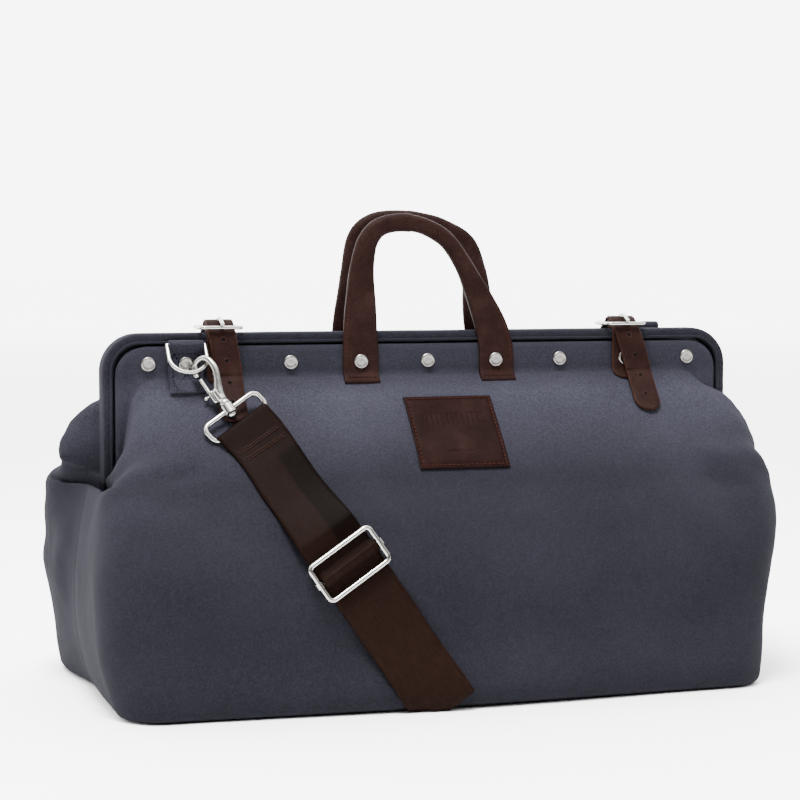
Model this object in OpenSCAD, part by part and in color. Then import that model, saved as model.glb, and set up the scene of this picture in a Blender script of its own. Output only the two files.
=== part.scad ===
// Canvas doctor bag: hinged steel mouth frame, slanted upper panels, boxed lower
// body, leather handles, two buckled closure belts and a clip-on shoulder strap.
// Millimetres. +Z up, front face towards -Y, origin at the middle of the base.

/* [Body] */
// Length of the bag at its widest level
bag_l = 550; // [520:1:580]
// Depth of the bag at its widest level
bag_d = 282; // [268:1:292]
// Height of the closed mouth
rim_z = 280; // [276:1:286]
// Thickness of the canvas
canvas_t = 1.6; // [1.2:0.1:1.8]

/* [Frame] */
// Height of the hinge pins that join the two halves of the mouth frame
hinge_z = 162; // [160:1:166]
// Length over the closed mouth
frame_l = 528; // [522:1:534]
// Width of the covered rim, seen from the front
rim_w = 7.5; // [6:0.5:8]
// Black gap between the rim and the front half of the frame
rim_gap = 3.5; // [3:0.5:4]
// Height of the steel strips that carry the rivets
strip_h = 24; // [20:1:26]
// Thickness of the steel strips
strip_t = 2; // [1.5:0.1:2]

/* [Fittings] */
// Distance between neighbouring rivets of the mouth
rivet_pitch = 57; // [55:1:58]
// Radius of a rivet cap
rivet_r = 6; // [5:0.5:6.5]
// Width of a handle's sewn foot
foot_w = 30; // [26:1:32]
// Height of the handles above the rim
handle_h = 97; // [85:1:100]
// Width of a closure belt
belt_w = 22; // [20:1:22]
// Thickness of the belt leather
belt_t = 2.2; // [1.8:0.1:2.3]

/* [Shoulder strap] */
// Width of the webbing
web_w = 50; // [46:1:51]
// Thickness of the webbing
web_t = 2.2; // [1.8:0.1:2.3]

/* [Hidden] */

$fn = 48;
// Clearance between layers that lie on each other
fit = 0.3;
// Outline of the body at a few heights: [z, half length, half depth, corner radius]
base_level = [0, bag_l / 2 - 22, bag_d / 2 - 5, 32];
belly_level = [90, bag_l / 2, bag_d / 2, 45];
shoulder_level = [125, bag_l / 2, bag_d / 2 - 13, 45];
ledge_level = [hinge_z, bag_l / 2 - 4, bag_d / 2 - 47, 40];
// Half of the gap between the outer faces of the two frame halves
face_y = 11.2;
// Height where the canvas leaves the rivet strip and slants outwards
crease_z = 246;
crease_level = [crease_z, frame_l / 2 - 12, face_y, 8];
lining_t = 0.8;
base_t = 4;
board_t = 2.5;

// Slope of the upper panel, as an angle from the horizontal
slant = atan2(crease_z - ledge_level[0], ledge_level[2] - face_y);

// Frame halves
rim_l = frame_l / 2;
front_edge_x = rim_l - rim_w - rim_gap;
front_edge_z = rim_z - rim_w - rim_gap;
corner_r = 30;
leg_end_z = hinge_z + 22;
hem = 1;
pin_r = 3;
bore_r = 3.05;
knuckle_r = 6;

// Rivets
rivet_z = 256;
rivet_t = 1.8;
handle_x = rivet_pitch;
belt_x = 3 * rivet_pitch;
ring_x = 199;

// Handles
foot_t = 3.2;
grip_r = 6.5;
grip_bend_r = 44;
fold_z = 272;

// Buckles: heights and places of the bars, in a section across the rim
bar_z = rim_z + 4.2;
bar_r = 1.35;
loop_r = 3.5;
buckle_w = 35;
bar_y = -4;
front_bar_y = -18.6;
rear_bar_y = 10.6;
wire_r = 1.5;
prong_w = 3;
prong_slot = 5;

// Shoulder strap hardware, placed by the middle of the bar that holds the webbing
eye_at = [-163.4, -57, 210.9];
eye_turn = -35.6;
eye_tilt = 29.6;
eye_w = 58;
eye_h = 16;
eye_wire = 2;
slider_at = [-101.6, -141.3, 112.4];
slider_turn = -33;
slider_tilt = 12;
slider_w = 60;
slider_h = 30;

// D-rings: half length of the bar, wire, straight sides and how far they swing out
ring_r = 15;
ring_wire = 1.7;
ring_side = 12;
ring_tilt = 40;
ring_bar = [-ring_x, -face_y - fit - 3.8, 271];

// Snap hook, drawn up from its collar on the eye's upper bar
hook_at = eye_at + eye_h * [sin(eye_turn), cos(eye_turn) * sin(eye_tilt),
                            cos(eye_turn) * cos(eye_tilt)];
hook_turn = -24;
hook_tilt = 35.8;
hook_roll = -50;
bow_z = 40;
bow_x = 1.5;
bow_r = 8.2;
bow_wire = 2.4;
bolt_x = bow_x - bow_r + 0.8;

// Path of the webbing on the unrolled body: [x, distance down the face]
face_top = [[face_y, crease_z], [ledge_level[2], ledge_level[0]],
            [shoulder_level[2], shoulder_level[0]], [belly_level[2], belly_level[0]],
            [base_level[2], base_level[0]]];
web_gap = 0.8;
strap_top = [-161.3, 60.6];
strap_mid = [-101, 182];
front_foot_x = -30;
rear_foot_x = 75;

// ---------------------------------------------------------------- helpers
module level_disc(l, inset, z) {
    translate([0, 0, z])
        for (sx = [-1, 1], sy = [-1, 1])
            translate([sx * (l[1] - l[3]), sy * (max(l[2] - l[3], 0.1)), 0])
                cylinder(r = max(l[3] - inset, 0.5), h = 0.01, $fn = 32);
}

// Solid between the base and the ledge, shrunk by inset and starting at height z0
module lower_form(inset, z0) {
    hull() {
        level_disc(base_level, inset, z0);
        level_disc(belly_level, inset, belly_level[0]);
        level_disc(shoulder_level, inset, shoulder_level[0]);
        level_disc(ledge_level, inset, ledge_level[0] - 0.01);
    }
}

// Solid between the ledge and the crease, shrunk by inset
module upper_form(inset) {
    hull() {
        level_disc(ledge_level, inset, ledge_level[0] + 0.2);
        translate([-crease_level[1] + inset, -crease_level[2] + inset, crease_z - 0.02 - inset])
            cube([2 * (crease_level[1] - inset), 2 * (crease_level[2] - inset), 0.01]);
    }
}

// Everything in front of y = -gap (or behind y = gap with side = 1)
module half_space(side, gap) {
    translate([-400, side > 0 ? gap : -400 - gap, -50]) cube([800, 400, 600]);
}

// Upside-down U in the XZ plane: outer half length, top, width, y from and to
module mouth_u(x, z, w, y0, y1, foot, r) {
    translate([0, y1, 0]) rotate([90, 0, 0]) linear_extrude(y1 - y0)
        difference() {
            u_outline(x, z, foot, r);
            u_outline(x - w, z - w, foot - 1, max(r - w, 2));
        }
}

module u_outline(x, z, foot, r) {
    translate([-x, foot]) square([2 * x, z - r - foot]);
    translate([-x + r, foot]) square([2 * (x - r), z - foot]);
    for (s = [-1, 1]) translate([s * (x - r), z - r]) circle(r);
}

// A section drawn in (y, z) and extruded along X, centred on x
module along_x(x, w) {
    translate([x - w / 2, 0, 0]) rotate([90, 0, 90]) linear_extrude(w) children();
}

// Point on the front face at gap from it: corner between strip and slope
function crease_at(gap) = [-face_y - gap, crease_z + gap * tan((90 - slant) / 2)];
function down_slope(gap, len) =
    crease_at(gap) + len * [-cos(slant), -sin(slant)];

// Leather or canvas lying on the front face, from top z down over the crease
module face_strip(x, w, gap, t, top, len) {
    along_x(x, w) polygon([[-face_y - gap, top], crease_at(gap), down_slope(gap, len),
                           down_slope(gap + t, len), crease_at(gap + t),
                           [-face_y - gap - t, top]]);
}

module rear() { rotate([0, 0, 180]) children(); }

// Moves a fitting drawn upright at the origin onto the front face
module on_face(at, turn, tilt) {
    translate(at) rotate([-tilt, 0, 0]) rotate([0, turn, 0]) children();
}

// Rounded rectangle of wire in the XZ plane, its lower bar on the X axis
module wire_loop(w, h, r, bend) {
    for (s = [0, 1]) translate([0, 0, s * h]) rotate([0, 90, 0])
        cylinder(r = r, h = w - 2 * bend - 2 * r, center = true);
    for (s = [-1, 1]) translate([s * (w / 2 - r), 0, bend]) cylinder(r = r, h = h - 2 * bend);
    for (sx = [-1, 1], sz = [0, 1])
        translate([sx * (w / 2 - r - bend), 0, sz == 0 ? bend : h - bend])
            rotate([90, 0, 0])
                rotate([0, 0, (sx > 0 ? 0 : 90) + (sz == 0 ? (sx > 0 ? -90 : 90) : 0)])
                    rotate_extrude(angle = 90) translate([bend, 0]) circle(r, $fn = 24);
}

// ---------------------------------------------------------------- webbing
function seg_len(i) = norm(face_top[i + 1] - face_top[i]);
function along(s, i = 0) =
    (i >= len(face_top) - 2 || s <= seg_len(i))
        ? [i, s / seg_len(i)] : along(s - seg_len(i), i + 1);
function face_len(i = 0) = i >= len(face_top) - 1 ? 0 : seg_len(i) + face_len(i + 1);
// Outward normal at a bend, the mean of its two faces
function seg_n(i) = let (d = face_top[i + 1] - face_top[i]) [-d[1], d[0]] / norm(d);
function bend_n(i) =
    let (a = seg_n(max(i - 1, 0)), b = seg_n(min(i, len(face_top) - 2)))
        (a + b) / (1 + a * b);
function face_pt(s, gap) =
    let (k = along(s), i = k[0], f = k[1],
         a = face_top[i] + gap * bend_n(i), b = face_top[i + 1] + gap * bend_n(i + 1))
        a + (b - a) * f;

// Point at f, from 0 to 1, on the line that runs through three points
function bent_line(from, via, to, f) =
    f < 0.5 ? from + (via - from) * 2 * f : via + (to - via) * (2 * f - 1);

// Band on the front face through three unrolled points, w wide and t thick
module face_band(from, via, to, w, gap, t, rows, cols) {
    d = (to - from) / norm(to - from);
    side = [d[1], -d[0]];
    foot = face_len() - 0.4;
    grid = [for (i = [0:rows], j = [0:cols], k = [0, 1])
        let (off = side * w * (0.5 - j / cols), v = via + off,
             end = v + (to - via) * (foot - v[1]) / (to[1] - via[1]),
             c = bent_line(from + off, v, end, i / rows), p = face_pt(c[1], gap + k * t))
            [c[0], -p[0], p[1]]];
    function at(i, j, k) = (i * (cols + 1) + j) * 2 + k;
    outer = [for (i = [0:rows - 1], j = [0:cols - 1])
        each [[at(i, j, 1), at(i, j + 1, 1), at(i + 1, j + 1, 1)],
              [at(i, j, 1), at(i + 1, j + 1, 1), at(i + 1, j, 1)]]];
    inner = [for (i = [0:rows - 1], j = [0:cols - 1])
        each [[at(i, j, 0), at(i + 1, j + 1, 0), at(i, j + 1, 0)],
              [at(i, j, 0), at(i + 1, j, 0), at(i + 1, j + 1, 0)]]];
    ends = [for (j = [0:cols - 1], i = [0, rows])
        each i == 0
            ? [[at(i, j, 0), at(i, j + 1, 0), at(i, j + 1, 1)],
               [at(i, j, 0), at(i, j + 1, 1), at(i, j, 1)]]
            : [[at(i, j, 0), at(i, j + 1, 1), at(i, j + 1, 0)],
               [at(i, j, 0), at(i, j, 1), at(i, j + 1, 1)]]];
    sides = [for (i = [0:rows - 1], j = [0, cols])
        each j == 0
            ? [[at(i, j, 0), at(i, j, 1), at(i + 1, j, 1)],
               [at(i, j, 0), at(i + 1, j, 1), at(i + 1, j, 0)]]
            : [[at(i, j, 0), at(i + 1, j, 1), at(i, j, 1)],
               [at(i, j, 0), at(i + 1, j, 0), at(i + 1, j, 1)]]];
    faces = [for (f = concat(outer, inner, ends, sides)) [f[2], f[1], f[0]]];
    polyhedron(points = grid, faces = faces, convexity = 4);
}

// Flat run under the base, y to each side, from the front foot of the strap to its rear foot
module base_run(margin, z0, h, y) {
    half = web_w * 0.59 + margin;
    hull() {
        translate([front_foot_x - half, -y, z0]) cube([2 * half, 1, h]);
        translate([rear_foot_x - half, y - 1, z0]) cube([2 * half, 1, h]);
    }
}

module strap_groove() {
    base_run(1.5, -1, web_t + 1.2, base_level[2] + web_gap + web_t);
}

// ---------------------------------------------------------------- body
module lower_panel(side) {
    color("slategray") difference() {
        intersection() {
            lower_form(0, 0);
            half_space(side, 0.1);
        }
        lower_form(canvas_t, -1);
        translate([-400, -400, hinge_z - 0.5]) cube([800, 800, 10]);
        strap_groove();
    }
}

module front_panel_lower() { lower_panel(-1); }
module rear_panel_lower() { lower_panel(1); }

module base_panel() {
    color("slategray") difference() {
        hull() {
            level_disc(base_level, canvas_t + 0.3, 0);
            level_disc(base_level, canvas_t + 0.3, base_t);
        }
        strap_groove();
    }
}

module base_board() {
    color("peru") hull() {
        level_disc(base_level, 5, base_t + fit);
        level_disc(base_level, 5, base_t + fit + board_t);
    }
}

module lining() {
    bottom = base_t + board_t + 2 * fit;
    color("gainsboro") difference() {
        lower_form(canvas_t + 0.3, bottom);
        lower_form(canvas_t + 0.3 + lining_t, bottom + lining_t);
        translate([-400, -400, hinge_z - 1]) cube([800, 800, 10]);
    }
}

module upper_panel(side) {
    color("slategray") {
        difference() {
            intersection() {
                upper_form(0);
                half_space(side, face_y + 0.02);
            }
            upper_form(canvas_t);
        }
    }
}

module front_panel_upper() {
    upper_panel(-1);
    color("slategray")
        mouth_u(front_edge_x, front_edge_z, strip_h + hem, -face_y, -face_y + canvas_t,
                leg_end_z, corner_r - rim_w);
}

module rear_panel_upper() {
    upper_panel(1);
    color("slategray")
        mouth_u(rim_l - 1, rim_z - 1, strip_h + hem + rim_w + rim_gap, face_y - canvas_t,
                face_y, leg_end_z, corner_r - 1);
}

// ---------------------------------------------------------------- frame
module lug(x, y0, y1) {
    difference() {
        union() {
            translate([x, 0, hinge_z]) rotate([0, 90, 0]) cylinder(r = knuckle_r, h = 10);
            translate([x, y0, hinge_z]) cube([10, y1 - y0, leg_end_z - hinge_z + 2]);
        }
        translate([x - 1, 0, hinge_z]) rotate([0, 90, 0]) cylinder(r = bore_r, h = 12);
    }
}

// Angle-section half of the mouth frame: strip with the rivets and a flange
module front_frame_bar() {
    color("silver") {
        difference() {
            union() {
                mouth_u(front_edge_x - hem, front_edge_z - hem, strip_h, -9.4, -9.4 + strip_t,
                        leg_end_z, corner_r - rim_w - hem);
                mouth_u(front_edge_x - hem, front_edge_z - hem, 2, -7.4, -fit, leg_end_z,
                        corner_r - rim_w - hem);
            }
            rivet_holes(-12);
        }
        for (s = [0, 1]) mirror([s, 0, 0]) lug(front_edge_x - 24, -9.4, -4);
    }
}

module rear_frame_bar() {
    color("silver") {
        difference() {
            union() {
                mouth_u(rim_l - 1.5, rim_z - 1.5, strip_h + rim_w + rim_gap, 7.4, 9.4,
                        leg_end_z, corner_r - 1.5);
                mouth_u(front_edge_x - hem, front_edge_z - hem, 2, fit, 7.4, leg_end_z,
                        corner_r - rim_w - hem);
            }
            rivet_holes(-1);
        }
        for (s = [0, 1]) mirror([s, 0, 0]) lug(front_edge_x - 13.5, 4, 9.4);
    }
}

module rivet_holes(y) {
    for (i = [-4:4])
        translate([i * rivet_pitch, y, rivet_z]) rotate([-90, 0, 0]) cylinder(r = 2.1, h = 13);
}

// Rolled canvas rim over its steel core; it laps round the front half
module rear_rim() {
    color("slategray")
        mouth_u(rim_l, rim_z, rim_w, -face_y + 0.2, 7.1, leg_end_z, corner_r);
}

module hinge_pins() {
    color("silver") for (s = [0, 1]) mirror([s, 0, 0])
        translate([front_edge_x - 28, 0, hinge_z]) rotate([0, 90, 0]) {
            cylinder(r = pin_r, h = 30);
            translate([0, 0, -1.8]) cylinder(r = 5, h = 1.8);
            translate([0, 0, 30]) cylinder(r = 5, h = 1.8);
        }
}

// Fork that carries a hinge pin, on a plate inside the end of the bag
module hinge_brackets() {
    x0 = front_edge_x - 28;
    wall_x = ledge_level[1] - 7;
    color("dimgray") for (s = [0, 1]) mirror([s, 0, 0]) difference() {
        union() {
            for (x = [x0 + 0.5, x0 + 26.5])
                translate([x, -7, hinge_z - 14]) cube([3, 14, 21]);
            translate([x0 + 0.5, -7, hinge_z - 14]) cube([wall_x - x0 - 0.5, 14, 3]);
            translate([wall_x - 2, -14, hinge_z - 60]) cube([2, 28, 49]);
        }
        translate([x0 - 1, 0, hinge_z]) rotate([0, 90, 0]) cylinder(r = bore_r, h = 40);
    }
}

// ---------------------------------------------------------------- rivets
// Caps of the mouth's rivets: on the canvas, or on the leather of a foot or tab
module cap(x, gap) {
    translate([x, -face_y - gap, rivet_z]) rotate([90, 0, 0]) {
        cylinder(r = rivet_r, h = rivet_t * 0.5);
        translate([0, 0, rivet_t * 0.5])
            cylinder(r1 = rivet_r, r2 = rivet_r - 1.6, h = rivet_t * 0.5);
    }
}

function cap_gap(i) = abs(i) == 1 ? foot_t + 2 * fit : abs(i) == 3 ? belt_t + 2 * fit : fit;

module rivet_row() {
    for (i = [-4:4]) cap(i * rivet_pitch, cap_gap(i));
    cap(-ring_x, 3.2 + fit);
}

module front_rivets() { color("silver") rivet_row(); }
module rear_rivets() { color("silver") rear() rivet_row(); }

module washer_row() {
    for (i = [-4:4])
        translate([i * rivet_pitch, -7.1, rivet_z]) rotate([-90, 0, 0]) difference() {
            cylinder(r = 5, h = 1);
            translate([0, 0, -1]) cylinder(r = 1.4, h = 3);
        }
}

module front_rivet_washers() { color("silver") washer_row(); }
module rear_rivet_washers() { color("silver") rear() washer_row(); }

// ---------------------------------------------------------------- leather
module front_patch() {
    from = 31.5;
    patch_w = 73;
    patch_h = 70;
    t = 1.8;
    color("saddlebrown") along_x(7.5, patch_w)
        polygon([down_slope(0.4, from), down_slope(0.4, from + patch_h),
                 down_slope(0.4 + t, from + patch_h), down_slope(0.4 + t, from)]);
}

module handle_feet() {
    for (s = [-1, 1]) face_strip(s * handle_x, foot_w, fit, foot_t, fold_z - 2, 9);
}

module front_handle_feet() { color("saddlebrown") handle_feet(); }
module rear_handle_feet() { color("saddlebrown") rear() handle_feet(); }

// Grip: flat at its fold line, rolled round over the top
module handle_grip() {
    y = -face_y - fit - foot_t / 2 - 0.5;
    top = rim_z + handle_h - grip_bend_r - grip_r;
    for (s = [-1, 1]) {
        hull() {
            translate([s * handle_x - foot_w / 2, y - foot_t / 2, fold_z + 2])
                cube([foot_w, foot_t, 1]);
            translate([s * grip_bend_r, y, top - 3]) cylinder(r = grip_r - 0.6, h = 1, $fn = 24);
        }
        translate([s * grip_bend_r, y, top - 5]) cylinder(r = grip_r, h = 5.5);
    }
    translate([0, y, top]) rotate([90, 0, 0]) rotate_extrude(angle = 180)
        translate([grip_bend_r, 0]) circle(grip_r + 0.05);
}

module front_handle_grip() { color("saddlebrown") handle_grip(); }
module rear_handle_grip() { color("saddlebrown") rear() handle_grip(); }

// Sewn loop that holds a D-ring at the top of the strip
module ring_tab() {
    face_strip(-ring_x, 28, fit, 2.6, 268, 18);
    translate(ring_bar) rotate([0, 90, 0]) difference() {
        cylinder(r = 3.6, h = 24, center = true);
        cylinder(r = ring_wire + 0.1, h = 40, center = true);
    }
}

module front_ring_tab() { color("slategray") ring_tab(); }
module rear_ring_tab() { color("slategray") rear() ring_tab(); }

// ---------------------------------------------------------------- closure belts
// Short riveted tab whose loop holds the buckle's centre bar
module buckle_tab(x) {
    inner = -face_y - fit;
    color("saddlebrown") difference() {
        union() {
            face_strip(x, belt_w, fit, belt_t, rim_z + 2.9, 4);
            along_x(x, belt_w) translate([inner - belt_t, rim_z + fit + 0.4])
                square([bar_y - inner + belt_t, belt_t]);
            translate([x, bar_y, bar_z]) rotate([0, 90, 0])
                cylinder(r = loop_r, h = belt_w, center = true);
        }
        translate([x, bar_y, bar_z]) rotate([0, 90, 0])
            cylinder(r = bar_r + 0.06, h = 2 * belt_w, center = true);
        translate([x - prong_slot / 2, bar_y - 7, rim_z]) cube([prong_slot, 14, 12]);
    }
}

module left_buckle_tab() { buckle_tab(-belt_x); }
module right_buckle_tab() { buckle_tab(belt_x); }

// Riveted rear end of a belt, as far as the top edge
module belt_root(x) {
    color("saddlebrown") mirror([0, 1, 0])
        face_strip(x, belt_w, fit, belt_t, rim_z - 4, 8);
}

module left_belt_root() { belt_root(-belt_x); }
module right_belt_root() { belt_root(belt_x); }

// Free end: over the top, through the buckle and down the front, with its holes
module belt_end(x) {
    over = bar_z + loop_r + 0.4;
    low = rim_z + 0.4;
    out = -face_y - 2 * fit - belt_t;
    gap = 6;
    tip_gap = 1;
    hang = 42;
    color("saddlebrown") difference() {
        along_x(x, belt_w) polygon([
            [face_y + fit, rim_z - 3.4], [face_y + fit, low], [bar_y + 8, low],
            [bar_y + 5, over], [bar_y - 5, over], [out - 0.3, low + 2.2],
            crease_at(gap), down_slope(tip_gap, hang), down_slope(tip_gap + belt_t, hang),
            crease_at(gap + belt_t), [out - 0.3 - belt_t, low + 3.4],
            [bar_y - 5.6, over + belt_t], [bar_y + 5.6, over + belt_t],
            [bar_y + 8.6, low + belt_t], [face_y + fit + belt_t, low + belt_t],
            [face_y + fit + belt_t, rim_z - 3.4]]);
        translate([x - prong_slot / 2, bar_y - 11, over - 3]) cube([prong_slot, 12, 8]);
        for (z = [268, 256]) translate([x, -30, z]) rotate([-90, 0, 0])
            cylinder(r = 1.6, h = 30);
    }
}

module left_belt_end() { belt_end(-belt_x); }
module right_belt_end() { belt_end(belt_x); }

// Rectangular buckle with its centre bar
module buckle(x) {
    depth = rear_bar_y - front_bar_y;
    color("silver") translate([x, rear_bar_y, bar_z]) {
        rotate([90, 0, 0]) wire_loop(buckle_w, depth, wire_r, 3);
        translate([0, bar_y - rear_bar_y, 0]) rotate([0, 90, 0])
            cylinder(r = bar_r, h = buckle_w - 2 * wire_r, center = true);
    }
}

module left_buckle() { buckle(-belt_x); }
module right_buckle() { buckle(belt_x); }

// Prong: hub on the centre bar, through the belt and onto the front bar
module prong(x) {
    top = bar_z + loop_r + 0.4 + belt_t + 0.8;
    rest = bar_z + wire_r + 0.15;
    color("silver") difference() {
        union() {
            translate([x, bar_y, bar_z]) rotate([0, 90, 0])
                cylinder(r = 2.9, h = prong_w, center = true);
            along_x(x, prong_w) polygon([
                [bar_y, bar_z + 2], [bar_y - 2.2, top + 1.6], [bar_y - 5, top + 1.6],
                [front_bar_y - 2, rest + 1.8], [front_bar_y - 2, rest],
                [bar_y - 6, top], [bar_y - 3.6, top - 0.4], [bar_y - 2.8, bar_z - 0.5]]);
        }
        translate([x, bar_y, bar_z]) rotate([0, 90, 0])
            cylinder(r = bar_r + 0.06, h = 20, center = true);
    }
}

module left_prong() { prong(-belt_x); }
module right_prong() { prong(belt_x); }

// ---------------------------------------------------------------- strap hardware
module d_ring() {
    translate(ring_bar) rotate([-ring_tilt, 0, 0])
        rotate([180, 0, 0]) {
            rotate([0, 90, 0]) cylinder(r = ring_wire, h = 2 * ring_r, center = true);
            for (s = [-1, 1]) translate([s * ring_r, 0, 0]) {
                sphere(ring_wire);
                cylinder(r = ring_wire, h = ring_side);
            }
            translate([0, 0, ring_side]) rotate([90, 0, 0]) rotate_extrude(angle = 180)
                translate([ring_r, 0]) circle(ring_wire, $fn = 24);
        }
}

module front_d_ring() { color("silver") d_ring(); }
module rear_d_ring() { color("silver") rear() d_ring(); }

// Loop for the webbing with the swivel's collar on its upper bar
module eye() {
    difference() {
        union() {
            on_face(eye_at, eye_turn, eye_tilt) wire_loop(eye_w, eye_h, eye_wire, 6);
            on_face(hook_at, hook_turn, hook_tilt) translate([0, 0, -4]) cylinder(r = 5.2, h = 8);
        }
        on_face(hook_at, hook_turn, hook_tilt) translate([0, 0, -5]) cylinder(r = 2.55, h = 10);
    }
}

module front_eye() { color("silver") eye(); }
module rear_eye() { color("silver") rear() eye(); }

// Swivel stem, barrel, arm and open bow
module snap_hook() {
    arm_x = bow_x + bow_r;
    on_face(hook_at, hook_turn, hook_tilt) rotate([0, 0, hook_roll]) difference() {
        union() {
            translate([0, 0, -6.3]) cylinder(r = 3.6, h = 1.8);
            translate([0, 0, -5]) cylinder(r = 2.5, h = 12);
            translate([0, 0, 4.5]) cylinder(r = 4.5, h = 3);
            translate([0, 0, 6]) cylinder(r = 3.8, h = 14);
            translate([bolt_x + 2, 0, 11]) cylinder(r = 3.2, h = 10);
            hull() {
                translate([0, 0, 18]) sphere(3.2, $fn = 32);
                translate([arm_x, 0, bow_z - 6]) sphere(2.7, $fn = 32);
            }
            hull() {
                translate([arm_x, 0, bow_z - 6]) sphere(2.7, $fn = 32);
                translate([arm_x, 0, bow_z]) sphere(bow_wire, $fn = 32);
            }
            translate([bow_x, 0, bow_z]) rotate([90, 0, 0]) rotate_extrude(angle = 195)
                translate([bow_r, 0]) circle(bow_wire, $fn = 24);
        }
        translate([bolt_x, 0, 10]) cylinder(r = 1.65, h = 30);
        translate([bolt_x - 6, -1.2, 11.5]) cube([6, 2.4, 10]);
    }
}

module front_snap_hook() { color("silver") snap_hook(); }
module rear_snap_hook() { color("silver") rear() snap_hook(); }

// Sprung bolt that closes the bow, with its thumb knob
module hook_bolt() {
    on_face(hook_at, hook_turn, hook_tilt) rotate([0, 0, hook_roll]) {
        translate([bolt_x, 0, 18.5]) cylinder(r = 1.6, h = bow_z - 23.6);
        translate([bolt_x, 0, 19.5]) rotate([0, -90, 0]) cylinder(r = 1, h = 5);
        translate([bolt_x - 5, 0, 19.5]) sphere(1.9);
    }
}

module front_hook_bolt() { color("silver") hook_bolt(); }
module rear_hook_bolt() { color("silver") rear() hook_bolt(); }

module slider_frame() {
    color("silver") on_face(slider_at, slider_turn, slider_tilt)
        translate([0, 0, -slider_h / 2]) wire_loop(slider_w, slider_h, 2, 4);
}

// Centre bar with the ferrules that ride on the slider's short sides
module slider_bar() {
    x = slider_w / 2 - 2;
    color("silver") on_face(slider_at, slider_turn, slider_tilt) {
        rotate([0, 90, 0]) cylinder(r = 1.8, h = 2 * x - 5.2, center = true);
        for (s = [-1, 1]) translate([s * x, 0, -2.5]) difference() {
            cylinder(r = 3.2, h = 5);
            translate([0, 0, -1]) cylinder(r = 2.06, h = 7);
        }
    }
}

module strap_front() {
    color("saddlebrown")
        face_band(strap_top, strap_mid, [front_foot_x, face_len() - 0.5], web_w, web_gap, web_t,
                  48, 6);
}

module strap_rear() {
    color("saddlebrown") rear()
        face_band(strap_top + [1.3, 2.6], strap_mid, [-rear_foot_x, face_len() - 0.5], web_w,
                  web_gap, web_t, 48, 6);
}

module strap_base() {
    color("saddlebrown") base_run(0, 0, web_t - 0.1, base_level[2] + web_gap - 0.3);
}

// ---------------------------------------------------------------- parts
front_panel_lower();
rear_panel_lower();
base_panel();
base_board();
lining();
hinge_brackets();
hinge_pins();
strap_front();
strap_base();
strap_rear();
front_panel_upper();
front_frame_bar();
front_rivets();
front_rivet_washers();
front_patch();
front_handle_feet();
front_ring_tab();
left_buckle_tab();
right_buckle_tab();
rear_panel_upper();
rear_frame_bar();
rear_rim();
rear_rivets();
rear_rivet_washers();
rear_handle_feet();
rear_ring_tab();
left_belt_root();
right_belt_root();
left_belt_end();
right_belt_end();
left_buckle();
right_buckle();
left_prong();
right_prong();
front_handle_grip();
rear_handle_grip();
front_d_ring();
rear_d_ring();
front_eye();
rear_eye();
front_snap_hook();
rear_snap_hook();
front_hook_bolt();
rear_hook_bolt();
slider_frame();
slider_bar();
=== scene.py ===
"""Canvas doctor bag: the looks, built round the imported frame. Shapes are worked out in millimetres
and become metres when a mesh is made."""
import bpy
import bmesh
import math
from math import cos, pi, radians, sin
from mathutils import Matrix, Vector, noise
from mathutils.bvhtree import BVHTree


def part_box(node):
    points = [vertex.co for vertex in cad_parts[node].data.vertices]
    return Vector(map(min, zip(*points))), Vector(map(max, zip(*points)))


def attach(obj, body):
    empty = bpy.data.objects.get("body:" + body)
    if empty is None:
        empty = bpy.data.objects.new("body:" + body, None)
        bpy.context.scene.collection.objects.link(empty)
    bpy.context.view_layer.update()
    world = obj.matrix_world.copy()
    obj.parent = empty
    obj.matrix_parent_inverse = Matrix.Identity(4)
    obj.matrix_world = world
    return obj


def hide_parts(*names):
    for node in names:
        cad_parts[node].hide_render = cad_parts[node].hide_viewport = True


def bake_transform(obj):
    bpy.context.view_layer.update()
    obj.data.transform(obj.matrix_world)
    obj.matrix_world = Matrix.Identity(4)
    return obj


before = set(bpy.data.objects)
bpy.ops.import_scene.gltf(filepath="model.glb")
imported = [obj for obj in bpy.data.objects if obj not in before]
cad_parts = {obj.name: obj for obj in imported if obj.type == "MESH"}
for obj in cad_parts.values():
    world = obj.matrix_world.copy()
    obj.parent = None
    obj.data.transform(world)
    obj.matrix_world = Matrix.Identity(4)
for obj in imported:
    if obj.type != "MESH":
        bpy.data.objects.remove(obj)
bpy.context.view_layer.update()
MM = 0.001

# ---- camera
camera_data = bpy.data.cameras.new("camera")
camera_data.sensor_width = 36
camera_data.lens = 94.5
camera_data.clip_end = 30
camera = bpy.data.objects.new("camera", camera_data)
camera.location = (-0.5134, -1.6303, 0.3404)
camera.rotation_euler = (radians(90 - 3.93), 0, radians(-16.84))
bpy.context.scene.collection.objects.link(camera)
bpy.context.scene.camera = camera


# ---- named sizes, mm
RIM_TOP = Vector(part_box("rear_rim")[1]) / MM
RIM_X, RIM_Z = RIM_TOP.x, RIM_TOP.z
RIM_W, RIM_CORNER = 7.5, 30          # width and outer corner radius of the rolled rim
EDGE_X, EDGE_Z = RIM_X - 11, RIM_Z - 11
LEG_FOOT_Z = 159                     # where the rim's legs end
FACE_Y, CREASE_Z = 11.2, 246         # outer face of the canvas strip, and where it turns out
FOLD_Z = 272                         # where the handles fold
CANVAS_T, LINING_T = 1.5, 0.8
RIVET_PITCH, RIVET_Z, RING_X = 57, 256, -199
BELT_X = 171

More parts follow.
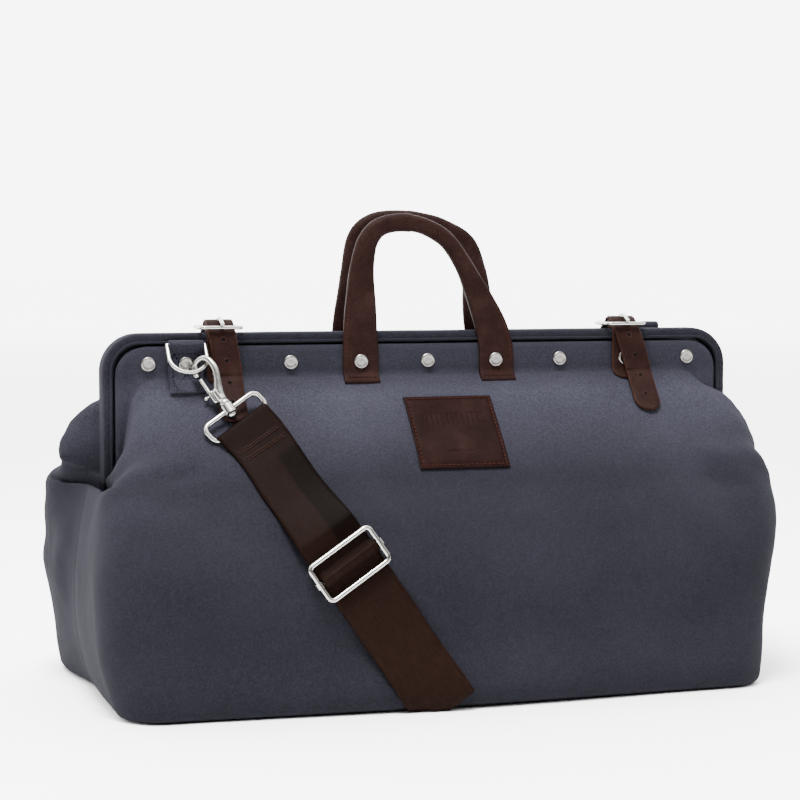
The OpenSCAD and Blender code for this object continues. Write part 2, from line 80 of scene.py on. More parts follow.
# the swivel's eye, the snap hook and the slider: place, then degrees of turn, tilt and roll
EYE_AT, EYE_TURN, EYE_TILT, EYE_H = Vector((-163.4, -57, 210.9)), -35.6, 29.6, 16
HOOK_TURN, HOOK_TILT, HOOK_ROLL = -24, 35.8, -50
SLIDER_AT, SLIDER_TURN, SLIDER_TILT = Vector((-101.6, -141.3, 112.4)), -33, 12
WEB_W, WEB_T, WEB_BASE_W = 50, 2.2, 58
FOOT_FRONT_X, FOOT_REAR_X = -30, 75
FRONT, UP = Vector((0, -1, 0)), Vector((0, 0, 1))
HALVES = ((-1, "front"), (1, "rear"))


# ---- small helpers
def smooth(x, a=0.0, b=1.0):
    """0 before a, 1 after b, and a smooth rise between."""
    t = min(max((x - a) / (b - a), 0), 1)
    return t * t * (3 - 2 * t)


def mix(a, b, t):
    return a + (b - a) * t


def catmull(points, t):
    """Point at t (0 to len-1) on the smooth curve through points."""
    i = min(int(t), len(points) - 2)
    f = t - i
    p0, p1 = points[max(i - 1, 0)], points[i]
    p2, p3 = points[i + 1], points[min(i + 2, len(points) - 1)]
    return 0.5 * ((2 * p1) + (p2 - p0) * f + (2 * p0 - 5 * p1 + 4 * p2 - p3) * f * f
                  + (3 * p1 - p0 - 3 * p2 + p3) * f * f * f)


def spline(points, n):
    """n + 1 points, evenly spaced in length, on the smooth curve through points."""
    points = [Vector(p) for p in points]
    fine = [catmull(points, i * (len(points) - 1) / (n * 6)) for i in range(n * 6 + 1)]
    return resample(fine, n)


def lengths(line):
    """Length run at each point of a line."""
    run = [0.0]
    for a, b in zip(line, line[1:]):
        run.append(run[-1] + (b - a).length)
    return run


def along(run, s, j=0):
    """Segment in which the length s falls, looking from segment j on, and its share there."""
    while j < len(run) - 2 and run[j + 1] < s:
        j += 1
    return j, min(max((s - run[j]) / max(run[j + 1] - run[j], 1e-9), 0), 1)


def resample(line, n):
    """n + 1 points evenly spaced along a polyline."""
    run, out, j = lengths(line), [], 0
    for i in range(n + 1):
        j, f = along(run, run[-1] * i / n, j)
        out.append(line[j].lerp(line[j + 1], f))
    return out


def tangent(line, i):
    """Direction of a line at its point i."""
    return (line[min(i + 1, len(line) - 1)] - line[max(i - 1, 0)]).normalized()


def add_mesh(name, verts, faces, material=None, shade=True):
    """New object from vertices in mm."""
    mesh = bpy.data.meshes.new(name)
    mesh.from_pydata([Vector(v) * MM for v in verts], [], faces)
    mesh.validate()
    bm = bmesh.new()
    bm.from_mesh(mesh)
    bmesh.ops.recalc_face_normals(bm, faces=bm.faces)
    bm.to_mesh(mesh)
    bm.free()
    if shade:
        mesh.shade_smooth()
    obj = bpy.data.objects.new(name, mesh)
    bpy.context.scene.collection.objects.link(obj)
    if material:
        mesh.materials.append(material)
    return obj


def grid_faces(rows, cols, wrap=False):
    n = cols if wrap else cols - 1
    return [(r * cols + c, r * cols + (c + 1) % cols, (r + 1) * cols + (c + 1) % cols,
             (r + 1) * cols + c) for r in range(rows - 1) for c in range(n)]


def grid_normals(grid):
    """Unit normal at each point of a grid of points."""
    rows, cols = len(grid), len(grid[0])
    out = []
    for r in range(rows):
        line = []
        for c in range(cols):
            du = grid[r][min(c + 1, cols - 1)] - grid[r][max(c - 1, 0)]
            dv = grid[min(r + 1, rows - 1)][c] - grid[max(r - 1, 0)][c]
            n = du.cross(dv)
            line.append(n.normalized() if n.length > 1e-9 else Vector((0, 0, 1)))
        out.append(line)
    return out


def cloth_sheet(name, grid, thickness, material, flip=1):
    """Closed sheet: the grid is its outer face and a second face lies thickness inside it."""
    rows, cols = len(grid), len(grid[0])
    normals = grid_normals(grid)
    outer = [p for row in grid for p in row]
    inner = [p - n * thickness * flip for row, ns in zip(grid, normals)
             for p, n in zip(row, ns)]
    k = rows * cols
    faces = grid_faces(rows, cols)
    faces += [tuple(k + i for i in reversed(f)) for f in grid_faces(rows, cols)]
    rim = ([c for c in range(cols)] + [r * cols + cols - 1 for r in range(1, rows)]
           + [(rows - 1) * cols + c for c in range(cols - 2, -1, -1)]
           + [r * cols for r in range(rows - 2, 0, -1)])
    faces += [(a, k + a, k + b, b) for a, b in zip(rim, rim[1:] + rim[:1])]
    return add_mesh(name, outer + inner, faces, material)


def tube_faces(n, m, base=0):
    """Faces of n rings of m vertices, shut at both ends, counted from vertex base."""
    faces = grid_faces(n, m, wrap=True) + [tuple(range(m)), tuple(range((n - 1) * m, n * m))]
    return [tuple(base + i for i in face) for face in faces]


def tube_verts(centres, sections, ups):
    """Closed sections, each a list of (side, out) offsets, set along a path."""
    verts = []
    for i, (p, section, up) in enumerate(zip(centres, sections, ups)):
        ahead = tangent(centres, i)
        out = (up - ahead * up.dot(ahead)).normalized()
        side = ahead.cross(out)
        verts += [p + side * a + out * b for a, b in section]
    return verts


def sweep(name, centres, sections, material, ups=None):
    verts = tube_verts(centres, sections, ups or [FRONT] * len(centres))
    return add_mesh(name, verts, tube_faces(len(centres), len(sections[0])), material)


def oval(w, h, n=20, square=2.0):
    """Closed section w wide and h thick; square above 2 makes it boxier."""
    out = []
    for i in range(n):
        a = 2 * pi * i / n
        c, s = cos(a), sin(a)
        out.append((w / 2 * math.copysign(abs(c) ** (2 / square), c),
                    h / 2 * math.copysign(abs(s) ** (2 / square), s)))
    return out


def on_face(p, at, turn, tilt):
    """Point of a fitting drawn upright at the origin, moved onto the front face as in the CAD."""
    spin = Matrix.Rotation(radians(-tilt), 3, "X") @ Matrix.Rotation(radians(turn), 3, "Y")
    return spin @ Vector(p) + at


def to_rear(p):
    return Vector((-p[0], -p[1], p[2]))


def facing(points, side):
    """Points made for the front, turned half round when side is the rear's."""
    return points if side < 0 else [to_rear(p) for p in points]


def turn_mesh(obj):
    for v in obj.data.vertices:
        v.co = to_rear(v.co)


def dress(obj, slot, *nodes):
    """Hide the CAD nodes that a piece stands for; slot is not used."""
    if nodes:
        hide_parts(*nodes)


def ride(obj, body, slot=None, *nodes):
    """Fix a piece to one body."""
    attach(obj, body)
    dress(obj, slot, *nodes)


def hang(obj, body, slot=None, *nodes):
    """Bake a piece's place into its mesh and hide the CAD nodes that it stands for."""
    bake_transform(obj)
    dress(obj, slot, *nodes)


def set_uv(obj, grid):
    """UV of each vertex: lengths along the grid's middle row and middle column, mm, so that a
    weave has its real size."""
    run_u = lengths(grid[len(grid) // 2])
    run_v = lengths([row[len(row) // 2] for row in grid])
    uvs = [(u, v) for v in run_v for u in run_u]
    layer = obj.data.uv_layers.new(name="UVMap")
    for loop in obj.data.loops:
        layer.data[loop.index].uv = uvs[loop.vertex_index % len(uvs)]


# ---- materials
def grey(value):
    return (value,) * 3


def tones(base, low, high):
    return tuple(c * low for c in base), tuple(c * high for c in base)


class Nodes:
    """Short way to write a node tree."""

    def __init__(self, name="", tree=None):
        self.tree = tree
        if not tree:
            self.mat = bpy.data.materials.new(name)
            self.mat.use_nodes = True
            self.tree = self.mat.node_tree
            self.bsdf = self.tree.nodes["Principled BSDF"]

    def put(self, socket, value):
        """Join a socket to another node's output, or give it a number, a vector or a colour."""
        if isinstance(value, bpy.types.NodeSocket):
            self.tree.links.new(value, socket)
        elif socket.type == "RGBA":
            socket.default_value = (*value, 1)
        else:
            socket.default_value = value

    def add(self, kind, inputs=None, **settings):
        node = self.tree.nodes.new(kind)
        for key, value in settings.items():
            setattr(node, key, value)
        for key, value in (inputs or {}).items():
            self.put(node.inputs[key], value)
        return node

    def set(self, **values):
        """Inputs of the shader itself, with _ for a space in a name."""
        for key, value in values.items():
            self.put(self.bsdf.inputs[key.replace("_", " ")], value)

    def ramp(self, source, *stops):
        node = self.add("ShaderNodeValToRGB", {0: source})
        ramp = node.color_ramp
        while len(ramp.elements) < len(stops):
            ramp.elements.new(0.5)
        for element, (place, colour) in zip(ramp.elements, stops):
            element.position = place
            element.color = (*colour, 1) if isinstance(colour, tuple) else (*grey(colour), 1)
        return node.outputs["Color"]

    def math(self, operation, a, b):
        return self.add("ShaderNodeMath", {0: a, 1: b}, operation=operation).outputs[0]

    def total(self, *terms):
        """Sum of (source, weight) terms."""
        total = None
        for source, weight in terms:
            term = self.math("MULTIPLY", source, weight)
            total = term if total is None else self.math("ADD", total, term)
        return total

    def blend(self, factor, a, b, how="MIX"):
        return self.add("ShaderNodeMix", {0: factor, 6: a, 7: b}, data_type="RGBA",
                        blend_type=how).outputs[2]

    def bump(self, height, strength, distance):
        node = self.add("ShaderNodeBump", {"Strength": strength, "Distance": distance,
                                           "Height": height})
        self.set(Normal=node.outputs["Normal"])

    def place(self, scale=(1, 1, 1), coords="Object"):
        coord = self.add("ShaderNodeTexCoord").outputs[coords]
        return self.add("ShaderNodeMapping", {"Scale": scale, "Vector": coord}).outputs["Vector"]

    def axis(self, vector, name):
        return self.add("ShaderNodeSeparateXYZ", {"Vector": vector}).outputs[name]

    def noise(self, vector, scale, detail=3.0, rough=0.5):
        return self.add("ShaderNodeTexNoise", {"Vector": vector, "Scale": scale, "Detail": detail,
                                               "Roughness": rough}).outputs["Fac"]

    def wave(self, vector, scale, direction, distort):
        return self.add("ShaderNodeTexWave", {"Vector": vector, "Scale": scale,
                                              "Distortion": distort},
                        bands_direction=direction).outputs["Fac"]


def canvas_material(name, base, woven=True):
    """Plain-weave cotton canvas: yarns across and along, slubs, lighter and darker patches, and
    painted shade and light by height.
    """
    n = Nodes(name)
    dark, light = tones(base, 0.5, 1.7)
    cloth = n.place(coords="UV") if woven else n.place((1000, 1000, 1000))
    space = n.place()
    pitch = 0.9
    warp = n.wave(cloth, pitch, "X", 0.6)
    weft = n.wave(cloth, pitch, "Y", 0.6)
    yarns = n.math("MAXIMUM", n.math("MULTIPLY", warp, 1.0), n.math("MULTIPLY", weft, 0.85))
    slub = n.noise(n.place((1, 6, 1), "UV" if woven else "Object"), 0.35 if woven else 350, 4, 0.65)
    patches = n.noise(space, 9, 4, 0.55)
    fibre = n.noise(space, 620, 3, 0.75)
    tone = n.ramp(n.total((slub, 0.3), (fibre, 0.7)), (0.40, dark), (0.5, base), (0.61, light))
    tone = n.blend(0.22, tone, n.ramp(yarns, (0.2, dark), (0.9, light)))
    tone = n.blend(0.3, tone, n.ramp(patches, (0.3, dark), (0.5, base), (0.72, light)))
    # painted shade and light by height, on every canvas and on the lining: darker low down, lighter
    # on the slope below the crease, darker again on the upright strip
    painted_height_shade = n.ramp(n.axis(space, "Z"), (0.0, 0.54), (0.1, 0.48), (0.17, 0.5), (0.232, 1.12),
                   (0.247, 0.72))
    n.set(Base_Color=n.blend(1.0, tone, painted_height_shade, "MULTIPLY"),
          Roughness=n.ramp(fibre, (0.2, 0.82), (0.8, 0.95)), Specular_IOR_Level=0.03,
          Sheen_Weight=0.01, Sheen_Roughness=0.55, Sheen_Tint=(0.62, 0.65, 0.8))
    n.bump(n.total((yarns, 0.6), (slub, 0.8), (fibre, 0.3)), 0.5, 0.0004)
    return n.mat


def leather_material(name, base, rough=0.42, shine=0.045):
    """Pull-up leather: fine grain cells, pores, rubbed lighter places."""
    n = Nodes(name)
    dark = tones(base, 0.6, 1)[0]
    light = tuple(min(c * 1.8 + 0.001, 1) for c in base)
    space = n.place()
    cells = n.add("ShaderNodeTexVoronoi", {"Vector": space, "Scale": 620.0},
                  feature="DISTANCE_TO_EDGE")
    grain = n.ramp(cells.outputs["Distance"], (0.0, 0.0), (0.22, 1.0))
    cloud = n.noise(space, 38, 5, 0.6)
    fine = n.noise(space, 420, 3, 0.6)
    tone = n.ramp(cloud, (0.3, dark), (0.52, base), (0.75, light))
    tone = n.blend(0.25, tone, n.ramp(fine, (0.3, dark), (0.75, light)))
    n.set(Base_Color=n.blend(0.2, tone, grain, "MULTIPLY"),
          Roughness=n.ramp(cloud, (0.3, rough + 0.12), (0.7, rough - 0.06)),
          Specular_IOR_Level=shine)
    n.bump(n.total((grain, 0.6), (fine, 0.8), (cloud, 1.0)), 0.45, 0.0005)
    return n.mat


def webbing_material(name, base, split=0.0):
    """Satin webbing: cross ribs and herringbone floats; past split mm across its width, and
    between the sewn end and the slider, it is painted darker, as shade for the half of the
    weave that shows no sheen; higher up the whole strap is painted darker too, as shade."""
    n = Nodes(name)
    dark, light = tones(base, 0.5, 1.75)
    cloth = n.place(coords="UV")
    ribs = n.wave(cloth, 0.2, "Y", 0.15)
    cords = n.wave(cloth, 0.5, "X", 0.3)
    diagonal = n.wave(cloth, 0.33, "DIAGONAL", 0.2)
    streak = n.noise(n.place((3, 0.25, 1), "UV"), 0.3, 3, 0.6)
    weave = n.total((ribs, 0.65), (cords, 0.2), (diagonal, 0.15))
    tone = n.ramp(streak, (0.3, dark), (0.5, base), (0.72, light))
    tone = n.blend(0.5, tone, n.ramp(weave, (0.25, dark), (0.95, light)))
    # painted sheen: one half of the weave, between the sewn end and the slider, is darkened as if it
    # caught no sheen
    if split:
        across, down = n.axis(cloth, "X"), n.axis(cloth, "Y")
        sewn_end, slider_end = 74.0, 171.0
        right = n.math("MULTIPLY", n.math("SUBTRACT", across, split), 1.2)
        below = n.math("MULTIPLY", n.math("SUBTRACT", down, sewn_end), 0.25)
        above = n.math("MULTIPLY", n.math("SUBTRACT", slider_end, down), 0.12)
        inside = n.math("MINIMUM", right, n.math("MINIMUM", below, above))
        inside = n.add("ShaderNodeClamp", {"Value": inside}).outputs[0]
        tone = n.blend(n.math("MULTIPLY", inside, 0.8), tone, tones(base, 0.3, 1)[0])
    # painted shade by height: darker higher up the strap
    painted_height_shade = n.ramp(n.axis(n.place(), "Z"), (0.06, 1.0), (0.13, 0.62), (0.2, 0.5))
    n.set(Base_Color=n.blend(1.0, tone, painted_height_shade, "MULTIPLY"),
          Roughness=n.ramp(weave, (0.2, 0.48), (0.9, 0.34)), Specular_IOR_Level=0.012)
    n.bump(weave, 0.5, 0.0005)
    return n.mat


def metal_material(name, base, rough, brushed=0.08):
    """Satin-plated metal: fine brushing, soft clouding and small dents."""
    n = Nodes(name)
    brush = n.noise(n.place((1, 1, 14)), 260, 3, 0.6)
    cloud = n.noise(n.place(), 70, 3, 0.5)
    n.set(Base_Color=n.ramp(cloud, (0.3, tones(base, 0.82, 1)[0]), (0.7, base)), Metallic=1.0,
          Roughness=n.ramp(brush, (0.25, rough - brushed), (0.75, rough + brushed)))
    n.bump(n.total((brush, 1.0), (cloud, 0.6)), 0.04, 0.0002)
    return n.mat


def thread_material(name, base):
    """Twisted sewing thread."""
    n = Nodes(name)
    twist = n.wave(n.place(), 900, "DIAGONAL", 1.0)
    dark, light = tones(base, 0.55, 1.3)
    n.set(Base_Color=n.ramp(twist, (0.2, dark), (0.9, light)), Roughness=0.75,
          Specular_IOR_Level=0.04)
    n.bump(twist, 0.4, 0.0002)
    return n.mat


CANVAS = canvas_material("canvas", (0.0165, 0.0162, 0.0222))
CANVAS_SMALL = canvas_material("canvas_small", (0.0165, 0.0162, 0.0222), woven=False)
CANVAS_RIM = canvas_material("canvas_rim", (0.0105, 0.0103, 0.0142), woven=False)
LINING = canvas_material("lining", (0.2, 0.18, 0.145))
LEATHER = leather_material("leather", (0.0108, 0.0049, 0.0041), rough=0.42, shine=0.014)
LEATHER_PATCH = leather_material("leather_patch", (0.0062, 0.0019, 0.0014), 0.5, 0.02)
LEATHER_EDGE = leather_material("leather_edge", (0.02, 0.0075, 0.005), rough=0.6)
WEBBING = webbing_material("webbing", (0.0075, 0.0036, 0.0026))
WEBBING_FRONT = webbing_material("webbing_front", (0.0075, 0.0036, 0.0026), split=29.0)
NICKEL = metal_material("nickel", (0.36, 0.355, 0.335), 0.24, 0.06)
RIVET = metal_material("rivet_nickel", (0.2, 0.19, 0.178), 0.3, 0.05)
STEEL = metal_material("frame_steel", (0.035, 0.035, 0.04), 0.5)
BOARD = leather_material("board", (0.05, 0.045, 0.04), rough=0.8)
BROWN_THREAD = thread_material("brown_thread", (0.028, 0.0085, 0.0058))
# dark thread, also used as painted shade for the inside of the belts' holes
DARK_THREAD_AND_HOLE_SHADE = thread_material("dark_thread", (0.003, 0.003, 0.0045))
WEB_THREAD = thread_material("web_thread", (0.016, 0.0075, 0.0055))


# ---- floor and light
def pale_floor():
    n = Nodes("floor")
    tone = n.ramp(n.noise(n.place(), 6), (0.3, 0.955), (0.7, 0.975))
    away = n.add("ShaderNodeVectorMath", {"Vector": n.place()}, operation="LENGTH")
    far_off = n.math("MULTIPLY", away.outputs["Value"], 0.1)
    n.set(Base_Color=tone, Emission_Color=n.ramp(far_off, (0.2, 0.0), (0.8, 1.0)),
          Emission_Strength=2.4, Roughness=0.8, Specular_IOR_Level=0.2)
    half, z = 60000, -0.4
    corners = [(-half, -half, z), (half, -half, z), (half, half, z), (-half, half, z)]
    add_mesh("floor", corners, [(0, 1, 2, 3)], n.mat, shade=False)


pale_floor()

# soft surroundings: bright behind and overhead, dimmer on the side of the viewer
world = bpy.data.worlds.new("world")
world.use_nodes = True
bpy.context.scene.world = world


def soft_world(n):
    """Strength of the surroundings by direction: n holds the world's node tree."""
    axes = n.add("ShaderNodeTexCoord").outputs["Generated"]

    def rise(axis, *limits):
        names = ("From Min", "From Max", "To Min", "To Max")
        inputs = {"Value": n.axis(axes, axis), **dict(zip(names, limits))}
        return n.add("ShaderNodeMapRange", inputs,
                     interpolation_type="SMOOTHSTEP").outputs["Result"]

    sky = n.tree.nodes["Background"]
    n.put(sky.inputs["Strength"], n.math("ADD", rise("Y", -0.2, 0.85, 0.12, 7.5),
                                         rise("Z", 0.3, 0.95, 0.0, 4.0)))
    n.put(sky.inputs["Color"], (1.0, 1.0, 1.0))


soft_world(Nodes(tree=world.node_tree))


def area_light(name, place, aim, size, power):
    data = bpy.data.lights.new(name, "AREA")
    data.shape = "DISK"
    data.size = size
    data.energy = power
    obj = bpy.data.objects.new(name, data)
    obj.location = place
    obj.rotation_euler = (Vector(aim) - Vector(place)).to_track_quat("-Z", "Y").to_euler()
    bpy.context.scene.collection.objects.link(obj)


area_light("key", (-0.55, -0.75, 2.9), (0, 0, 0.15), 1.1, 330)
area_light("side", (-2.4, 0.2, 1.3), (-0.2, 0, 0.15), 1.2, 9)

# ---- canvas body
LEVELS = [  # height, half length left and right, depth front and rear, corner radius
    (0.8, 262, 238, 133, 126, 26), (3, 270, 246, 140, 133, 32), (18, 277, 250, 143, 138, 38),
    (50, 284, 256, 140, 140, 46), (90, 285, 263, 138.5, 139, 50), (115, 283, 269, 130.5, 132, 50),
    (140, 279, 275, 115, 117, 46), (163, 273, 276, 95, 98, 42)]


def seam_share(u):
    """Distance from the nearer end seam, and -1 on the left half or 1 on the right."""
    return min(u, 1 - u), -1 if u <= 0.5 else 1


def ring_point(level, u, side):
    """Point at u round half a level's outline, from the left seam by the corner to the right."""
    z, left, right, front, rear, r = level
    depth = front if side < 0 else rear
    half = left if u <= 0.5 else right
    v, sx = seam_share(u)
    if v < 0.1:
        x, y = sx * half, (depth - r) * v / 0.1
    elif v < 0.2:
        a = (v - 0.1) / 0.1 * pi / 2
        x, y = sx * (half - r + r * cos(a)), depth - r + r * sin(a)
    else:
        x, y = mix(-(left - r), right - r, (u - 0.2) / 0.6), depth
    return Vector((x, side * y, z))


def frame_curve(u, side, leg_x, top_z, r, low_z, low_x, y):
    """Point at u round the mouth: up the left leg, round the corner, along the top, down."""
    v, sx = seam_share(u)
    corner_z = top_z - r
    if v < 0.14:
        t = v / 0.14
        x, z = mix(low_x, leg_x, t), mix(low_z, corner_z, t)
    elif v < 0.2:
        a = (v - 0.14) / 0.06 * pi / 2
        x, z = leg_x - r + r * cos(a), corner_z + r * sin(a)
    else:
        return Vector((mix(-(leg_x - r), leg_x - r, (u - 0.2) / 0.6), side * y, top_z))
    return Vector((sx * x, side * y, z))


def crease(u, side):
    return frame_curve(u, side, 243, CREASE_Z, 24, 171, 251.5, FACE_Y)


def edge(u, side):
    """The canvas's upper edge: on the steel bar in front, under the rolled rim at the rear."""
    if side < 0:
        return frame_curve(u, side, EDGE_X, EDGE_Z, 22.5, 171, EDGE_X, FACE_Y)
    return frame_curve(u, side, RIM_X - 1.5, RIM_Z - 1.5, 29, 171, RIM_X - 1.5, FACE_Y)


def wrinkle(p, side, u):
    """How far the canvas stands out of its smooth shape at p, mm."""
    v = seam_share(u)[0]
    soft = noise.noise(p * 0.011 + Vector((3.1 * side, 0, 7))) * 2.6
    mid = noise.noise(p * 0.03 + Vector((9, side, 1))) * 0.9
    fine = noise.noise(p * 0.09 + Vector((1, 4, side))) * 0.22
    d = (soft + mid + fine) * (smooth(abs(p.y), 11, 26) * smooth(p.z, 0, 14))
    # the fold at the ends, where the sides hang over the lower body
    ends = 1 - smooth(v, 0.13, 0.24)
    lip = 160 + 26 * smooth(v, 0.08, 0.2) - 3 * smooth(0.05 - v, 0, 0.05)
    d += ends * smooth(v, 0.08, 0.13) * (3.0 * math.exp(-((p.z - lip + 4) / 8) ** 2)
                                        - 4.5 * math.exp(-((p.z - lip - 9) / 8) ** 2))
    return d


def fold(p, line, width, height):
    """Ridge (or valley, below 0) along a line of points, fading out at both its ends."""
    best, where = 1e9, 0
    for i, (a, b) in enumerate(zip(line, line[1:])):
        ab = b - a
        t = min(max((p - a).dot(ab) / ab.length_squared, 0), 1)
        d = (p - a - ab * t).length
        if d < best:
            best, where = d, (i + t) / (len(line) - 1)
    fade = smooth(where, 0, 0.3) * smooth(1 - where, 0, 0.3)
    return height * fade * math.exp(-(best / width) ** 2) if best < 3 * width else 0


FOLDS = [  # points on the canvas, width and height of the fold, mm
    ([(-240, -12, 266), (-241, -12, 250), (-242, -20, 232), (-243, -30, 205)], 7, -3.5),
    ([(240, -12, 266), (241, -12, 250), (242, -20, 232), (243, -30, 205)], 7, -3),
    ([(-256, -12, 160), (-247, -34, 172), (-236, -50, 180), (-214, -54, 190),
      (-190, -56, 196)], 7, 4.5),
    ([(-264, -30, 146), (-248, -62, 158), (-230, -76, 166), (-208, -78, 176),
      (-190, -74, 186)], 9, -5.5),
    ([(-274, -36, 146), (-262, -88, 140), (-235, -112, 140), (-200, -118, 142)], 13, 3),
    ([(-276, -60, 110), (-262, -110, 80), (-240, -132, 50), (-215, -138, 26)], 13, 2.6),
    ([(-268, -98, 100), (-240, -128, 92), (-200, -139, 70)], 14, -2.4),
    ([(-120, -60, 196), (-150, -80, 178), (-160, -110, 150), (-150, -128, 120)], 22, 2.2),
    ([(250, -60, 172), (232, -80, 176), (200, -78, 192)], 9, 3.2),
    ([(248, -92, 150), (225, -100, 158), (205, -92, 172)], 9, -3.4),
    ([(256, -30, 222), (264, -40, 205), (268, -50, 190)], 7, -3),
    ([(262, -60, 140), (245, -120, 118), (190, -138, 95)], 15, 2.6),
    ([(240, -120, 60), (200, -138, 56), (150, -140, 66)], 16, -2.0),
    ([(80, -70, 188), (150, -92, 168), (190, -118, 136), (200, -136, 96)], 24, 1.8),
    ([(-150, -120, 140), (-40, -112, 150), (90, -118, 145), (170, -116, 140)], 18, 1.2),
    ([(-262, 16, 232), (-272, 30, 205), (-281, 40, 180)], 6, 2.5),
    ([(-262, 40, 222), (-276, 60, 200), (-284, 66, 176)], 7, -3.5),
    ([(-288, 60, 152), (-292, 62, 120), (-292, 60, 80), (-286, 58, 40)], 3.2, 1.3),
    ([(-284, 20, 140), (-290, 40, 100), (-286, 50, 56)], 16, 3.0),
    ([(262, 14, 205), (270, 50, 190), (272, 80, 175)], 8, 3),
    ([(-150, 90, 168), (-60, 110, 150), (60, 112, 150), (160, 92, 168)], 20, -2.2),
    ([(-200, 120, 130), (-120, 136, 100), (-60, 139, 60)], 22, 2.4),
    ([(210, 118, 130), (130, 136, 96), (80, 139, 50)], 22, 2.4)]
FOLDS = [([Vector(p) for p in line], width, height) for line, width, height in FOLDS]


def rear_lean(v, z):
    """How far the rear left corner leans out."""
    lean = 13 + 11 * smooth(z, 120, 158) - 8 * math.exp(-((z - 38) / 22) ** 2)
    return lean * smooth(v, 0, 0.09) * (1 - smooth(v, 0.1, 0.22))


CREASE_ROW = 62
CANVAS_COLS = 240


def canvas_column(u, side):
    """The canvas from the floor over the belly to the crease, up the strip and its hem."""
    v, sx = seam_share(u)[0], -1 if u < 0.5 else 1
    rear_left = side > 0 and u < 0.5
    low = [ring_point(level, u, side) for level in LEVELS]
    for p in low:
        if rear_left:
            p.x -= rear_lean(v, p.z)
        p.y += side * 11 * smooth(v, 0.17, 0.5) * (1 - smooth(p.z, 4, 60)) * smooth(p.z, 0, 4)
    top, up = crease(u, side), edge(u, side)
    bulge = 4.6 * smooth(v, 0.18, 0.34) - 4 * (1 - smooth(v, 0.02, 0.18))
    out = Vector((0, side * 0.7, 0.7)) if v > 0.15 else Vector((sx, 0, 0.3))
    wide = smooth(v, 0.01, 0.08) * (1 - smooth(v, 0.16, 0.27))
    full = (18 if side > 0 else 0) if u < 0.5 else (16 if side > 0 else 12)
    outward = Vector((sx, 0, 0)) * full * wide
    first = (low[-1].lerp(top, 0.36) + out * bulge * 0.8
             + outward * (0.7 if rear_left else 1.3))
    # the pocket at the ends, folded in and down below the frame's feet
    inward = Vector((sx * 225, 0, low[-1].z)) - low[-1]
    fold_in = low[-1] + inward.normalized() * 13 + Vector((0, 0, -10))
    depth = (1 - smooth(v, 0.05, 0.125)) if side > 0 else (1 - smooth(v, 0.08, 0.15))
    low[-1].z -= 1.5 * depth
    line = low + [low[-1].lerp(first, 0.35).lerp(fold_in, depth), first,
                  low[-2].lerp(top, 0.78) + out * bulge + outward * 1.9, top]
    column = [catmull(line, i * (len(line) - 1) / CREASE_ROW) for i in range(CREASE_ROW + 1)]
    band = [top.lerp(up, i / 6) + Vector((0, side * 0.5 * sin(pi * i / 6), 0))
            for i in range(1, 7)]
    away = UP if v >= 0.2 else (up - Vector((0, up.y, 200))).normalized()
    hem = [up + Vector((0, -side * a, 0)) + away * b
           for a, b in ((0.8, 0.9), (2.0, 1.0), (3.2, 0.4))]
    return column + band + hem


def canvas_grid(side):
    columns = [canvas_column(c / CANVAS_COLS, side) for c in range(CANVAS_COLS + 1)]
    grid = [list(row) for row in zip(*columns)]
    for r, (line, ns) in enumerate(zip(grid, grid_normals(grid))):
        for c, (p, n) in enumerate(zip(line, ns)):
            if n.dot(Vector((p.x, p.y, 0))) < 0:
                n = -n
            d = wrinkle(p, side, c / CANVAS_COLS)
            for points, width, height in FOLDS:
                d += fold(p, points, width, height)
            if r > 58:  # calmer towards the riveted strip
                d *= mix(1, 0.4, min(r - 58, 8) / 8) if r < 67 else 0.15
            line[c] = p + n * d
    for line in grid:
        for c in (0, CANVAS_COLS):
            line[c] = Vector((line[c].x, side * max(line[c].y * side, 0.0), line[c].z))
    return grid


SHELLS = {}
for side, end in HALVES:
    grid = canvas_grid(side)
    obj = cloth_sheet(f"canvas_{end}", grid, CANVAS_T, CANVAS, flip=-side)
    set_uv(obj, grid)
    hang(obj, f"{end}_frame", "canvas", f"{end}_panel_lower", f"{end}_panel_upper")
    SHELLS[side] = grid, BVHTree.FromPolygons([p for row in grid for p in row],
                                              grid_faces(len(grid), len(grid[0])))


def cast(x, z, side=-1):
    """Place and outward normal of the canvas at x, z, looking along Y."""
    hit, normal, _, _ = SHELLS[side][1].ray_cast(Vector((x, side * 400, z)),
                                                 Vector((0, -side, 0)))
    if hit is None:
        return Vector((x, side * FACE_Y, z)), Vector((0, side, 0))
    if normal.y * side < 0:
        normal = -normal
    return hit, normal


def smooth_normal(x, z, side=-1, reach=4):
    total = Vector((0, 0, 0))
    for dx, dz in ((0, 0), (reach, 0), (-reach, 0), (0, reach), (0, -reach)):
        total += cast(x + dx, max(z + dz, 1.0), side)[1]
    return total.normalized()


# ---- rolled rim
leg, corner_x, corner_z = RIM_X - RIM_W / 2, RIM_X - RIM_CORNER, RIM_Z - RIM_CORNER
rim_line = [Vector((-leg, 0, mix(LEG_FOOT_Z, corner_z, i / 14))) for i in range(14)]
for i in range(17):
    a = pi - i / 16 * pi / 2
    r = RIM_CORNER - RIM_W / 2
    rim_line.append(Vector((-corner_x + r * cos(a), 0, RIM_Z - RIM_CORNER + r * sin(a))))
rim_line += [Vector((mix(-1, 1, i / 60) * corner_x, 0, RIM_Z - RIM_W / 2)) for i in range(1, 60)]
rim_line += [Vector((-p.x, 0, p.z)) for p in reversed(rim_line[:31])]
sections = []
for p in rim_line:
    foot = smooth(p.z, LEG_FOOT_Z, LEG_FOOT_Z + 16)
    bump = 1 + 0.035 * noise.noise(p * 0.03)
    sections.append([(a * bump, b) for a, b in
                     oval(mix(RIM_W * 0.8, RIM_W, foot), mix(19, 22, foot), 28, 4.5)])
rim = sweep("rim_canvas", [p + Vector((0, 0.1, 0)) for p in rim_line], sections, CANVAS_RIM)
ride(rim, "rear_frame", "canvas", "rear_rim")

